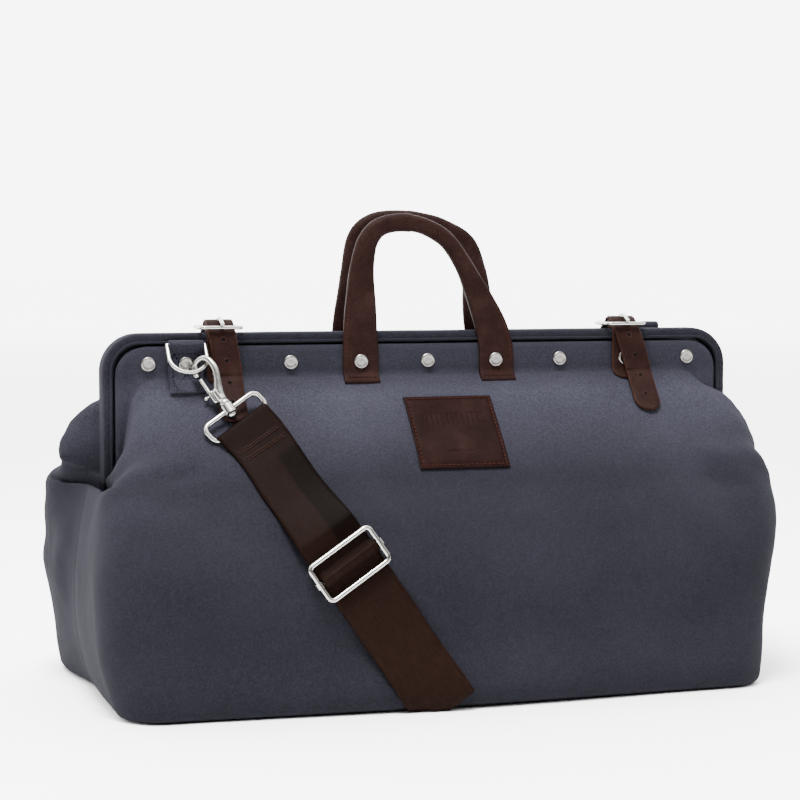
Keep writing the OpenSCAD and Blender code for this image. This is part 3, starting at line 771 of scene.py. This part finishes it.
# a thin roll of canvas along the rim's inner edge, towards the front
PIPING_IN, PIPING_Y = RIM_W / 2 - 0.6, -10.4
piping_line = []
for p in rim_line:
    if p.z > RIM_Z - RIM_W:
        inner = Vector((p.x, 0, p.z - RIM_W / 2 + 0.6))
    elif p.z < corner_z:
        inner = Vector((p.x - math.copysign(PIPING_IN, p.x), 0, p.z))
    else:
        centre = Vector((math.copysign(corner_x, p.x), 0, corner_z))
        inner = p - (p - centre).normalized() * PIPING_IN
    piping_line.append(inner + Vector((0, PIPING_Y, 0)))
piping = sweep("rim_piping", piping_line, [oval(2.5, 2.5, 12)] * len(piping_line), CANVAS_RIM)
ride(piping, "rear_frame", "canvas")


# ---- base and lining
def flat_grid(near_level, far_level, first, last, cols, lean=0):
    """Rows from the front edge to the rear edge of a flat sheet with the bag's outline."""
    grid = []
    for i in range(first, last):
        near, far = ring_point(near_level, i / 120, -1), ring_point(far_level, i / 120, 1)
        if lean and i < 60:
            far.x -= rear_lean(i / 120, 0)
        grid.append([near.lerp(far, j / cols) for j in range(cols + 1)])
    return grid


base_grid = flat_grid((0, 250, 236, 131, 130, 31), (0, 250, 236, 131, 125, 31), 1, 120, 32, 1)
for line in base_grid:
    for j, p in enumerate(line):
        web_x = FOOT_FRONT_X + 105 * j / 32  # a shallow groove where the webbing crosses
        groove = smooth(p.x, web_x - 38, web_x - 32) * (1 - smooth(p.x, web_x + 32, web_x + 38))
        line[j] = Vector((p.x, p.y, 0.5 + 2.6 * groove + 0.4 * noise.noise(p * 0.02)))
base_sheet = cloth_sheet("canvas_base", base_grid, CANVAS_T, CANVAS)
set_uv(base_sheet, base_grid)
ride(base_sheet, "bag_body", "canvas", "base_panel")


def lining_grid(side):
    """The canvas moved inwards, from the base board to under the frame bar."""
    grid = SHELLS[side][0]
    normals = grid_normals(grid)
    out = []
    for r in range(6, CREASE_ROW - 2, 2):
        line = []
        for c in range(0, len(grid[0]), 3):
            p, n = grid[r][c], normals[r][c]
            if n.dot(Vector((p.x, p.y, 0))) < 0:
                n = -n
            deep = smooth(p.z, 125, 150) * (1 - smooth(p.z, 198, 226))
            q = p - n * (3.4 + 5.5 * deep)
            q.y = side * max(side * q.y, 0.3)
            inside = mix(262, 228, smooth(q.z, 96, 136))
            q.x = max(-inside, min(inside, q.x))
            line.append(Vector((q.x, q.y, max(q.z, 8.0))))
        out.append(line)
    for _ in range(6):
        soft = [list(line) for line in out]
        for r in range(1, len(out) - 1):
            for c in range(1, len(out[0]) - 1):
                near = out[r - 1][c] + out[r + 1][c] + out[r][c - 1] + out[r][c + 1]
                soft[r][c] = out[r][c] * 0.4 + near * 0.15
        out = soft
    return out


for side, end in HALVES:
    grid = lining_grid(side)
    piece = cloth_sheet(f"lining_{end}", grid, LINING_T, LINING, flip=-side)
    set_uv(piece, grid)
    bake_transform(piece)
FLOOR_LEVEL = (0, 250, 237, 128, 128, 31)
floor_grid = flat_grid(FLOOR_LEVEL, FLOOR_LEVEL, 2, 119, 24)
floor_grid = [[p + Vector((0, 0, 8.4 + 0.7 * noise.noise(p * 0.03))) for p in line]
              for line in floor_grid]
floor_lining = cloth_sheet("lining_base", floor_grid, LINING_T, LINING)
set_uv(floor_lining, floor_grid)
ride(floor_lining, "bag_body", "lining", "lining")
board_grid = flat_grid((4.4, 248, 236, 126, 126, 34), (4.4, 248, 236, 126, 123, 34), 2, 119, 8)
board = cloth_sheet("stiff_board", board_grid, 2.4, BOARD)
ride(board, "bag_body", "board", "base_board")


# ---- stitching
def stitches(name, line, normals, material, body=None, pitch=4.2, length=3.0, r=0.42, lift=0.15):
    """Row of thread stitches along a line, each a small bent capsule sunk in the cloth."""
    run = lengths(line)
    verts, faces = [], []

    def at(s):
        j, f = along(run, s)
        return line[j].lerp(line[j + 1], f), normals[j].lerp(normals[j + 1], f).normalized()

    for k in range(int(run[-1] / pitch)):
        faces += tube_faces(5, 6, len(verts))
        for i in range(5):
            f = i / 4
            s = (k + 0.5) * pitch - length / 2 + length * f
            (p, n), (q, _) = at(s), at(s + 0.3)
            t = (q - p).normalized() if (q - p).length > 1e-6 else Vector((1, 0, 0))
            side = t.cross(n).normalized()
            arch = sin(pi * f)
            fat = r * (0.45 + 0.55 * arch)
            centre = p + n * (lift + 0.35 * arch - 0.35)
            verts += [centre + side * fat * cos(a * pi / 3) + n * fat * sin(a * pi / 3)
                      for a in range(6)]
    obj = add_mesh(name, verts, faces, material)
    if body:
        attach(obj, body)
    return obj


# ---- shoulder strap webbing
def depth_table(side, x):
    """Unrolled length down the canvas at x: list of (length, height)."""
    out, run, prev = [], 0.0, None
    z = CREASE_Z - 1.0
    while z > 1.5:
        p, _ = cast(x, z, side=side)
        if prev:
            run += (p - prev).length
        out.append((run, z))
        prev = p
        z -= 1.5
    return out


def height_at(table, s):
    for (s0, z0), (s1, z1) in zip(table, table[1:]):
        if s <= s1:
            return mix(z0, z1, (s - s0) / max(s1 - s0, 1e-6))
    return max(table[-1][1] - (s - table[-1][0]), 1.2)


def length_at(table, z):
    for (s0, z0), (s1, z1) in zip(table, table[1:]):
        if z >= z1:
            return mix(s0, s1, (z0 - z) / (z0 - z1))
    return table[-1][0]


WEB_ROWS, WEB_COLS = 104, 14
UNDER_ROWS, LOOP_ROWS = 9, 8         # rows turned under the eye, and round its lower bar
FIRST_FREE = 24                      # the first row that is drawn straight
LOOP_R, SLIDER_Z, SLIDER_REACH = 4.1, 112, 62


def on_eye(p):
    return on_face(p, EYE_AT, EYE_TURN, EYE_TILT)


def on_slider(p):
    return on_face(p, SLIDER_AT, SLIDER_TURN, SLIDER_TILT)


def across_web(j, width=WEB_W, cols=WEB_COLS):
    return width * (j / cols - 0.5)


def webbing(name, side, foot_x, has_slider):
    """Webbing from the loop of the swivel, down the face and under the base's edge."""
    table = depth_table(side, side * 130)

    def clear(p):
        """Keep the webbing's outer face above the canvas."""
        w = facing([p], side)[0]
        q, n = cast(w.x, w.z, side)
        w = w + n * max(0, WEB_T + 0.6 - (w - q).dot(n))
        w.z = max(w.z, 0.6)
        return facing([w], side)[0]

    top = Vector((EYE_AT.x, length_at(table, 206)))
    mid = Vector((SLIDER_AT.x, length_at(table, SLIDER_Z)))
    foot = Vector((foot_x, length_at(table, 2.2)))
    len1, len2 = (mid - top).length, (foot - mid).length
    dir_a, dir_b = (mid - top).normalized(), (foot - mid).normalized()
    rows, marks = [], []
    for i in range(UNDER_ROWS):
        z = -26 + 26 * i / 8
        rows.append([on_eye((across_web(j), 4.4, z)) for j in range(WEB_COLS + 1)])
        marks.append(z - 10)
    for i in range(1, LOOP_ROWS + 1):
        a = pi * i / 9
        rows.append([on_eye((across_web(j), 0.3 + LOOP_R * cos(a), LOOP_R * sin(a)))
                     for j in range(WEB_COLS + 1)])
        marks.append(0)

    def on_bag(s, across):
        """Point of the webbing s down its length and across its width, mm."""
        bend = smooth(s, len1 - 12, len1 + 12)
        direction = dir_a.lerp(dir_b, bend).normalized()
        centre = top + dir_a * s if s < len1 else mid + dir_b * (s - len1)
        flat = centre + Vector((direction.y, -direction.x)) * across
        near = s - len1 + 1.5
        roof = 0.9 * (1 - abs(across - 3) / 25)
        roof *= smooth(s, 10, 40) * (1 - smooth(s, len1 - 30, len1 - 12))
        layer = 1.6 * smooth(s, len1 - 14, len1 + 20)
        layer *= 1 - smooth(s, len1 + 130, len1 + 160)
        x, z = -side * flat.x, height_at(table, max(flat.y, 1.0))
        p = cast(x, z, side)[0]
        p = p + smooth_normal(x, z, side) * (0.7 + WEB_T + roof + layer * 0.6)
        p = facing([p], side)[0]
        if s < SLIDER_REACH:
            p = on_eye((across, -3.8, -s)).lerp(p, smooth(s, 12, 60))
        if has_slider and abs(near) < SLIDER_REACH:
            p = on_slider((across, 3.9, -near)).lerp(p, smooth(abs(near), 28, 60))
        return clear(p)

    for i in range(WEB_ROWS + 1):
        s = (len1 + len2) * i / WEB_ROWS
        rows.append([on_bag(s, across_web(j)) for j in range(WEB_COLS + 1)])
        marks.append(s)
    for _ in range(40):  # drawn straight between the swivel and the slider
        soft = [list(line) for line in rows]
        for i in range(FIRST_FREE, len(rows) - 4):
            if has_slider and abs(marks[i] - len1 + 1.5) < 32:
                continue
            soft[i] = [rows[i - 1][j] * 0.25 + rows[i][j] * 0.5 + rows[i + 1][j] * 0.25
                       for j in range(WEB_COLS + 1)]
        rows = soft
    rows[FIRST_FREE:] = [[clear(p) for p in line] for line in rows[FIRST_FREE:]]
    rows = [facing(line, side) for line in rows]
    obj = cloth_sheet(name, rows, WEB_T - 0.3, WEBBING_FRONT if side < 0 else WEBBING, flip=-1)
    set_uv(obj, rows)
    return obj, rows, marks


WEBS = {}
for side, end, foot_x in ((-1, "front", FOOT_FRONT_X), (1, "rear", -FOOT_REAR_X)):
    obj, rows, marks = webbing(f"webbing_{end}", side, foot_x, side < 0)
    hang(obj, f"{end}_frame", "webbing", f"strap_{end}")
    WEBS[end] = rows, marks

# the part of the webbing that is drawn up over the slider's bar
over_rows = []
for i in range(49):
    near = mix(-16.8, 16.8, i / 48)
    level = mix(2.5, -3.7, smooth(7.4 - abs(near), 0, 5.6))
    over_rows.append([on_slider((across_web(j), level, -near)) for j in range(WEB_COLS + 1)])
web_over = cloth_sheet("webbing_over_bar", over_rows, 1.2, WEBBING_FRONT, flip=-1)
set_uv(web_over, over_rows)
ride(web_over, "slider_bar_body", "webbing")

base_rows = []
for i in range(41):
    x, y = mix(FOOT_FRONT_X, FOOT_REAR_X, i / 40), mix(-137, 137, i / 40)
    base_rows.append([Vector((x + across_web(j, WEB_BASE_W, 10), y, 0.35)) for j in range(11)])
web_base = cloth_sheet("webbing_base", base_rows, 1.7, WEBBING, flip=-1)
set_uv(web_base, base_rows)
ride(web_base, "bag_body", "webbing", "strap_base")


# ---- leather handles
def fold_handle(obj, end, slot=None, *nodes):
    """Bake a piece's place into its mesh and hide the CAD nodes that it stands for."""
    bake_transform(obj)
    dress(obj, slot, *nodes)


def handle(end, path, widths):
    """Handle of one strip of leather: flat feet on the strip, rolled into a grip between."""
    centre = spline([Vector(p) for p in path], 150)
    sections = []
    for i, p in enumerate(centre):
        lift = p.z - FOLD_Z
        roll = smooth(lift, 4, 62)
        width = widths[0 if i / (len(centre) - 1) < 0.5 else 1](lift) + 0.7 * noise.noise(p * 0.05)
        sections.append(oval(width, mix(3.2, 11.5, roll), 28, mix(7.0, 2.3, roll)))
    obj = sweep(f"handle_{end}", centre, sections, LEATHER)
    if end == "rear":
        turn_mesh(obj)
    fold_handle(obj, end, "leather", f"{end}_handle_feet", f"{end}_handle_grip")
    return centre


def foot_y(z):
    """Middle of a leather foot lying on the strip and over the crease."""
    return -(FACE_Y + 2.3) - max(CREASE_Z + 1 - z, 0) * 0.85


def foot_run(x, *heights):
    """Points up a handle's foot, lowest first."""
    low = [(x, foot_y(z), z) for z in (239, 243)] + [(x, foot_y(248), 248.5)]
    return low + [(x, foot_y(z), z) for z in heights]


def grip_run(*places):
    """Points along a handle above its feet, from (x, z)."""
    return [(x, GRIP_Y, z) for x, z in places]


GRIP_Y, GRIP_END_Y = -13.8, -13.6
FRONT_PATH = foot_run(-57) + [(-57, foot_y(260), 262), (-57.3, foot_y(275), 276)] + grip_run(
    (-57.3, 292), (-57, 308), (-56.6, 324), (-54.5, 340), (-50.3, 353.5), (-40.5, 363.5),
    (-22.4, 367), (-4, 364), (14.5, 353.5), (28, 335.5), (38.7, 315), (47.3, 297)
    ) + [(54, GRIP_END_Y, 281), (57.6, foot_y(266), 266)] + foot_run(58, 256)[::-1]
REAR_PATH = foot_run(57) + [(58, foot_y(260), 262)] + grip_run(
    (59.6, 280), (58.8, 312), (57, 342), (51.5, 359), (39.5, 368), (22.5, 370.6), (3, 369.4),
    (-19, 363.5), (-40, 350.5), (-48, 328), (-50.5, 305), (-53, 285)
    ) + [(-56, GRIP_END_Y, 270)] + foot_run(-57, 260)[::-1]


def wide_leg(lift):
    return mix(29.5, 13.6, smooth(lift, -20, 118))


def slim_leg(lift):
    return mix(29.5, 13.6, smooth(lift, -12, 74))


HANDLE_LINES = {"front": handle("front", FRONT_PATH, (wide_leg, slim_leg)),
                "rear": handle("rear", REAR_PATH, (slim_leg, wide_leg))}


# ---- closure belts and tabs
def flat_strap(name, line, width, thick, material, tip=0.0):
    """Leather strap with bevelled edges and a rounded tip; line holds the middle of its
    thickness, and its width lies along X."""
    run, sections, ups = lengths(line), [], []
    for i in range(len(line)):
        left = run[-1] - run[i]
        w = width
        if tip and left < tip:
            w = max(width * math.sqrt(max(1 - (1 - left / tip) ** 2, 0)), 1.2)
        half, h, e = w / 2, thick / 2, min(0.8, w / 5)
        top = [(half - e) * k for k in (1, 0.6, 0.2, -0.2, -0.6, -1)]
        sections.append([(x, h + 0.1 * (1 - (x / half) ** 2)) for x in top]
                        + [(-half, h - 0.7), (-half, -h + 0.7)]
                        + [(-x, -h) for x in top] + [(half, -h + 0.7), (half, h - 0.7)])
        t = tangent(line, i)
        ups.append(Vector((0, t.z, -t.y)))
    obj = sweep(name, line, sections, material, ups)
    if material is LEATHER:
        obj.data.materials.append(LEATHER_EDGE)
        for face in obj.data.polygons[:(len(line) - 1) * 16]:
            if face.index % 16 in (5, 6, 7, 13, 14, 15):
                face.material_index = 1
    return obj


def face_point(x, z, gap):
    return cast(x, z)[0] + smooth_normal(x, z) * gap


def hole_marks(name, line, body):
    """Punched holes: a near-black sunk disc, painted shade in place of the open hole, inside a
    lighter bruised rim.
    """
    verts, faces, rims, rim_faces = [], [], [], []
    for z in (275, 258, 241, 227):
        h = min((p for p in line if p.y < -9), key=lambda p: abs(p.z - z))
        i = min(range(len(line)), key=lambda k: (line[k] - h).length)
        t = (line[min(i + 1, len(line) - 1)] - line[i - 1]).normalized()
        out = Vector((0, t.z, -t.y)).normalized()
        side = t.cross(out).normalized()
        c = h + out * 1.34
        round_it = [side * cos(a * pi / 8) + t * sin(a * pi / 8) for a in range(16)]
        base = len(verts)
        for d in round_it:
            verts += [c + d * 1.7 + out * 0.02, c + d * 1.45 - out * 0.05]
        ring = [base + 2 * a for a in range(16)]
        faces += [(b, k, k + 1, b + 1) for b, k in zip(ring, ring[1:] + ring[:1])]
        faces += [tuple(b + 1 for b in ring), tuple(reversed(ring))]
        base = len(rims)
        rims += [c + d * (2.0 + 0.42 * cos(j * pi / 3)) + out * (0.3 * sin(j * pi / 3) - 0.08)
                 for d in round_it for j in range(6)]
        rim_faces += [(base + a * 6 + j, base + a * 6 + (j + 1) % 6,
                       base + (a + 1) % 16 * 6 + (j + 1) % 6, base + (a + 1) % 16 * 6 + j)
                      for a in range(16) for j in range(6)]
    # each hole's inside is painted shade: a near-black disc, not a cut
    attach(add_mesh(name, verts, faces, DARK_THREAD_AND_HOLE_SHADE), body)
    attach(add_mesh(name + "_rims", rims, rim_faces, LEATHER_EDGE), body)


def belt(end, x, tip_z, lean):
    """Closure belt from the rear of the frame over the rim, through the buckle and down the
    front, leaning as it hangs; lean is its shift, and its further shift below the crease."""
    rear = [(15.2, 238), (14.2, 246), (13.7, 256), (13.6, 266), (13.4, 274), (11.5, 280.6),
            (7.5, 281.9), (4.5, 283.6), (1.6, 287.6), (-1, 288.9), (-4, 289.2), (-7.6, 288.4),
            (-11.5, 285.2), (-15.0, 280.5), (-17.0, 274), (-17.6, 266), (-18.0, 256),
            (-19.5, 248.5)]
    points = [Vector((x, y, z)) for y, z in rear]
    z = 242.0
    while z > tip_z:
        points.append(face_point(x, z, 5.5 - 3.0 * smooth(CREASE_Z - z, 0, 26)))
        z -= 6.0
    points.append(face_point(x, tip_z, 2.4))
    for p in points:
        if p.y < 0:
            shift = lean[0] * smooth(289 - p.z, 0, 46) if p.z > CREASE_Z else lean[0]
            p.x += shift + lean[1] * max(CREASE_Z - p.z, 0) / 35
    line = spline(points, 170)
    obj = flat_strap(f"belt_{end}", line, 22, 2.4, LEATHER, tip=11)
    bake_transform(obj)
    dress(obj, "leather", f"{end}_belt_end", f"{end}_belt_root")
    return line


BELT_LINES = {"left": belt("left", -BELT_X, 211, (5, -2)),
              "right": belt("right", BELT_X, 213, (10, -2))}
for end, line in BELT_LINES.items():
    hole_marks(f"belt_holes_{end}", line, f"{end}_belt")


def half_ring(y, z, r, first, last, step):
    """(y, z) points round a bar, by degrees."""
    return [(y + r * cos(radians(a)), z + r * sin(radians(a)))
            for a in range(first, last, step)]


for end, x in (("left", -BELT_X), ("right", BELT_X)):
    path = ([(-10.5, 281.4), (-4.5, 281.4)] + half_ring(-4, 284.2, 2.6, -30, 181, 30)
            + [(-8.5, 282.6), (-12.6, 280.9), (-13.4, 277), (-13.5, 268), (-13.5, 256),
               (-13.8, 249)])
    points = [Vector((x, y, z)) for y, z in path]
    points += [face_point(x, z, 1.7) for z in (243, 239, 238.5)]
    piece = flat_strap(f"buckle_tab_{end}", spline(points, 60), 22, 2.0, LEATHER, tip=9)
    ride(piece, "front_frame", "leather", f"{end}_buckle_tab")

# D-ring tabs of doubled canvas, front and rear
for side, end in HALVES:
    bar_y, bar_z = -15.3, 271
    if side < 0:
        loop = half_ring(bar_y, bar_z, 3.0, -20, 200, 20)
    else:
        loop = ([(bar_y + 2.6, bar_z + 2)] + half_ring(bar_y, 281.5, 2.6, 0, 181, 20)
                + [(bar_y - 2.6, bar_z + 2)])
    path = [(-12.4, 262), (-12.3, 267)] + loop + [(-14.9, 262), (-14.9, 254), (-15.2, 249.5)]
    points = [Vector((RING_X, y, z)) for y, z in path]
    points += [face_point(RING_X, z, 2.4) for z in (243, 239, 235, 232.5)]
    ring_line = spline(points, 90)
    tab = flat_strap(f"ring_tab_{end}", ring_line, 28, 1.8, CANVAS_SMALL)
    if side > 0:
        turn_mesh(tab)
    ride(tab, f"{end}_frame", "canvas", f"{end}_ring_tab")

# ---- leather patch
PATCH_W, PATCH_H, PATCH_X, PATCH_TOP = 73, 71, 7.4, 30.5
PATCH_NORMAL = Vector((0, -0.71, 0.7))
patch_table = depth_table(-1, 4)


def patch_point(du, v, out):
    return face_point(PATCH_X + du, height_at(patch_table, PATCH_TOP + PATCH_H * v), out)


def patch_height(du, s, rim_in):
    """Outer face of the patch above the canvas: padded, sewn down near its edge, and embossed
    with a ribbed bar and a plain rule."""
    pad = 0.45 * smooth(rim_in, 0, 1.2) + 0.35 * smooth(rim_in, 3, 7)
    sewn = -0.3 * math.exp(-((rim_in - 2.6) / 0.9) ** 2)
    bar = smooth(26 - abs(du), 0, 1.2) * smooth(6.5 - abs(s - 24), 0, 1.2)
    ribs = 0.5 + 0.5 * cos(2 * pi * du / 4.2)
    rule = smooth(11 - abs(du), 0, 1.2) * smooth(1.6 - abs(s - 56), 0, 1.0)
    return 1.9 + pad + sewn - 0.5 * bar * (0.4 + 0.6 * ribs) - 0.4 * rule


patch_grid = []
for v in (i / 96 for i in range(97)):
    line = []
    for u in (j / 100 for j in range(101)):
        du = PATCH_W * (u - 0.5)
        rim_in = min(min(u, 1 - u) * PATCH_W, min(v, 1 - v) * PATCH_H)
        line.append(patch_point(du, v, patch_height(du, PATCH_H * v, rim_in)))
    patch_grid.append(line)
patch = cloth_sheet("patch_leather", patch_grid, 1.7, LEATHER_PATCH, flip=-1)
hang(patch, "front_frame", "leather", "front_patch")

# ---- rows of stitches
PATCH_INSET, steps = 2.6, 40
half_w, v0 = PATCH_W / 2 - PATCH_INSET, PATCH_INSET / PATCH_H
v1 = 1 - v0
corners = [(-half_w, v0), (half_w, v0), (half_w, v1), (-half_w, v1), (-half_w, v0)]
line = [patch_point(mix(a, b, i / steps), mix(va, vb, i / steps), 2.55)
        for (a, va), (b, vb) in zip(corners, corners[1:]) for i in range(steps)]
hang(stitches("patch_stitches", line, [PATCH_NORMAL] * len(line), BROWN_THREAD, pitch=3.6,
              length=2.3, r=0.5, lift=0.3), "front_frame", "leather")


def leg_edge(line, high, left):
    """Points near the outer edge of one leg of a handle, on its face, up to a height."""
    points = []
    for i, p in enumerate(line):
        if (i < len(line) / 2) != left or not 250 <= p.z <= high:
            continue
        side = tangent(line, i).cross(FRONT).normalized()
        lift = p.z - FOLD_Z
        width = wide_leg(lift) if left else slim_leg(lift)
        roll = smooth(lift, 4, 62)
        away = side * outer_sign(line, left) * (width / 2 - 2.6)
        rise = mix(1.55, 5.75, roll) * (1 if roll < 0.02 else mix(1, 0.62, roll))
        points.append(p + away + Vector((0, -rise, 0)))
    return points


def outer_sign(line, left):
    """Which side of the leg, +1 or -1 in the sweep's own sense, looks away from the middle."""
    side = tangent(line, 20 if left else len(line) - 21).cross(FRONT)
    return 1 if side.x * (-1 if left else 1) > 0 else -1


for side, end in HALVES:
    line = HANDLE_LINES[end]
    for left, letter in ((True, "a"), (False, "b")):
        points = leg_edge(line, 336 if left else 300, left)
        middle = line[0 if left else -1].x
        foot = [face_point(middle + (24 * i / 16 - 12), 242.2, 3.6) for i in range(17)]
        normals, foot_normals = [FRONT] * len(points), [Vector((0, -0.8, 0.6))] * len(foot)
        row = stitches(f"handle_{end}_stitches_{letter}", facing(points, side),
                       facing(normals, side), BROWN_THREAD, pitch=3.6, length=2.6)
        fold_handle(row, end)
        stitches(f"handle_{end}_foot_stitches_{letter}", facing(foot, side),
                 facing(foot_normals, side), BROWN_THREAD, f"{end}_frame", pitch=3.4, length=2.4)

# box and cross of thread on the canvas ring tabs
BOX_ZS = (264, 262, 258, 254, 250, 247, 244, 241, 238, 235.5)


def tab_point(x, z):
    """Point on the face of a ring tab; both tabs lie alike below the bar."""
    near = min(ring_line[45:], key=lambda p: abs(p.z - z))
    lean = 0.6 if z < 247 else 1.0
    return Vector((x, near.y - 1.05 * lean, z + 0.5 * (1 - lean)))


for side, end in HALVES:
    x0, x1 = RING_X - 10.5, RING_X + 10.5
    rows = {"top": [(mix(x0, x1, i / 10), BOX_ZS[0]) for i in range(11)],
            "foot": [(mix(x0, x1, i / 10), BOX_ZS[-1]) for i in range(11)],
            "left": [(x0, z) for z in BOX_ZS], "right": [(x1, z) for z in BOX_ZS],
            "cross_a": [(mix(x0, x1, i / 9), z) for i, z in enumerate(BOX_ZS)],
            "cross_b": [(mix(x1, x0, i / 9), z) for i, z in enumerate(BOX_ZS)]}
    for key, places in rows.items():
        points = facing([tab_point(x, z) for x, z in places], side)
        normals = facing([Vector((0, -0.9, 0.3))] * len(points), side)
        stitches(f"ring_tab_{end}_{key}", points, normals, DARK_THREAD_AND_HOLE_SHADE, f"{end}_frame",
                 pitch=3.2, length=2.4, r=0.45)

# two heavy rows across the webbing under the swivel's loop
for side, end in HALVES:
    rows, marks = WEBS[end]
    normals = grid_normals(rows)
    for k, target in enumerate((17.5, 25.0)):
        i = min(range(UNDER_ROWS + LOOP_ROWS, len(marks)), key=lambda r: abs(marks[r] - target))
        outward = [n if n.dot(Vector((0, side, 0.5))) > 0 else -n for n in normals[i][1:-1]]
        for j, shift in enumerate((-0.9, 0.9)):
            step = (rows[i + 1][7] - rows[i][7]).normalized() * shift
            row = stitches(f"webbing_{end}_stitches_{k}{j}", [p + step for p in rows[i][1:-1]],
                           outward, WEB_THREAD, pitch=2.9, length=2.5, r=0.6, lift=0.35)
            hang(row, f"{end}_frame")


# ---- snap hooks
def lathe(profile, n=28):
    """Vertices and faces of a turned solid; profile is (radius, height) from bottom to top."""
    verts = [(r * cos(2 * pi * k / n), r * sin(2 * pi * k / n), z) for r, z in profile
             for k in range(n)]
    return verts, tube_faces(len(profile), n)


def round_profile(points, r=0.6):
    """Turned profile with its corners softened."""
    out = [points[0]]
    for a, b, c in zip(points, points[1:], points[2:]):
        va = Vector((a[0] - b[0], a[1] - b[1]))
        vc = Vector((c[0] - b[0], c[1] - b[1]))
        k = min(r, va.length * 0.45, vc.length * 0.45)
        pa, pc = Vector(b) + va.normalized() * k, Vector(b) + vc.normalized() * k
        for t in (0, 0.5, 1):
            q = pa.lerp(Vector(b), t).lerp(Vector(b).lerp(pc, t), t)
            out.append((q.x, q.y))
    out.append(points[-1])
    return out


HOOK_AT = on_face((0, 0, EYE_H), EYE_AT, EYE_TURN, EYE_TILT)


def hook_frame(p):
    a = radians(HOOK_ROLL)
    q = Vector((p[0] * cos(a) - p[1] * sin(a), p[0] * sin(a) + p[1] * cos(a), p[2]))
    return on_face(q, HOOK_AT, HOOK_TURN, HOOK_TILT)


STEM = round_profile([(0.3, -7.2), (2.6, -7.0), (3.6, -5.6), (3.6, -4.6), (2.5, -4.4), (2.5, 4.4),
                      (4.3, 4.7), (4.5, 6.0), (4.3, 7.2), (3.5, 7.6), (3.5, 8.6), (4.1, 9.4),
                      (4.1, 17.5), (3.6, 19.8), (2.2, 21.2), (0.3, 21.6)])
BARREL = round_profile([(0.3, 10.0), (2.6, 10.2), (3.1, 11.4), (3.1, 20.2), (2.7, 21.2),
                        (1.75, 21.4), (1.75, 20.9), (0.3, 20.8)])
BARREL_AT = Vector((-4.3, 0, 0))
HOOK_R, HOOK_X, HOOK_Z = 8.2, 1.5, 40


def snap_hook(side, end):
    """Stem with its swivel, the barrel that holds the bolt, and the hook's curved arm."""
    verts, faces = lathe(STEM)
    verts = [Vector(v) for v in verts]
    barrel, barrel_faces = lathe(BARREL)
    faces += [tuple(i + len(verts) for i in face) for face in barrel_faces]
    verts += [Vector(v) + BARREL_AT for v in barrel]
    path = [Vector((x, 0, z)) for x, z in ((0.8, 14), (3.0, 19.5), (6.2, 25), (8.8, 30.5),
                                           (9.9, 35.5))]
    path += [Vector((HOOK_X + HOOK_R * cos(radians(a)), 0, HOOK_Z + HOOK_R * sin(radians(a))))
             for a in range(0, 196, 13)]
    line = spline(path, 80)
    sections = []
    for t in (i / 80 for i in range(81)):
        w = mix(7.6, 5.2, smooth(t, 0, 0.32))
        w = mix(w, 4.6, smooth(t, 0.35, 0.6))
        w = mix(w, 3.6, smooth(t, 0.9, 1.0))
        sections.append(oval(w, mix(7.0, 4.6, smooth(t, 0, 0.35)), 20, 2.4))
    faces += tube_faces(len(line), 20, len(verts))
    verts += tube_verts(line, sections, [Vector((0, 1, 0))] * len(line))
    placed = facing([hook_frame(v) for v in verts], side)
    obj = add_mesh(f"snap_hook_{end}", placed, faces, NICKEL)
    ride(obj, f"{end}_hook", "nickel", f"{end}_snap_hook")


snap_hook(-1, "front")
snap_hook(1, "rear")

# ---- rivets
CAP = [(5.2, -0.8), (5.7, -0.2), (5.95, 0.35), (5.8, 0.95), (5.3, 1.45), (4.75, 1.7), (4.35, 1.62),
       (4.1, 1.35), (3.9, 1.3), (2.0, 1.36), (0.02, 1.4)]
CAP_SINK = 1.8                       # from the CAD cap's face down to where the lathe work starts
CAP_REACH = 6.5
for side, end in HALVES:
    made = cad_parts[f"{end}_rivets"]
    points = [made.matrix_world @ v.co / MM for v in made.data.vertices]
    verts, faces = [], []
    for x in [RIVET_PITCH * i for i in range(-4, 5)] + [RING_X]:
        foot = max(abs(p.y) for p in points if abs(p.x + side * x) < CAP_REACH) - CAP_SINK
        cap, cap_faces = lathe(CAP, 40)
        faces += [tuple(len(verts) + i for i in face) for face in cap_faces]
        verts += facing([Vector((x + a, -foot - h, RIVET_Z + b)) for a, b, h in cap], side)
    caps = add_mesh(f"{end}_rivet_caps", verts, faces, RIVET)
    ride(caps, f"{end}_frame", "nickel", f"{end}_rivets")

# ---- CAD nodes that stay
FINISHES = ((("rivet",), RIVET), (("ring", "eye", "bolt", "slider", "buckle", "prong"), NICKEL),
            (("frame_bar", "hinge"), STEEL))
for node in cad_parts:
    finish = next((m for words, m in FINISHES if any(word in node for word in words)), None)
    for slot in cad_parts[node].material_slots if finish else ():
        slot.material = finish
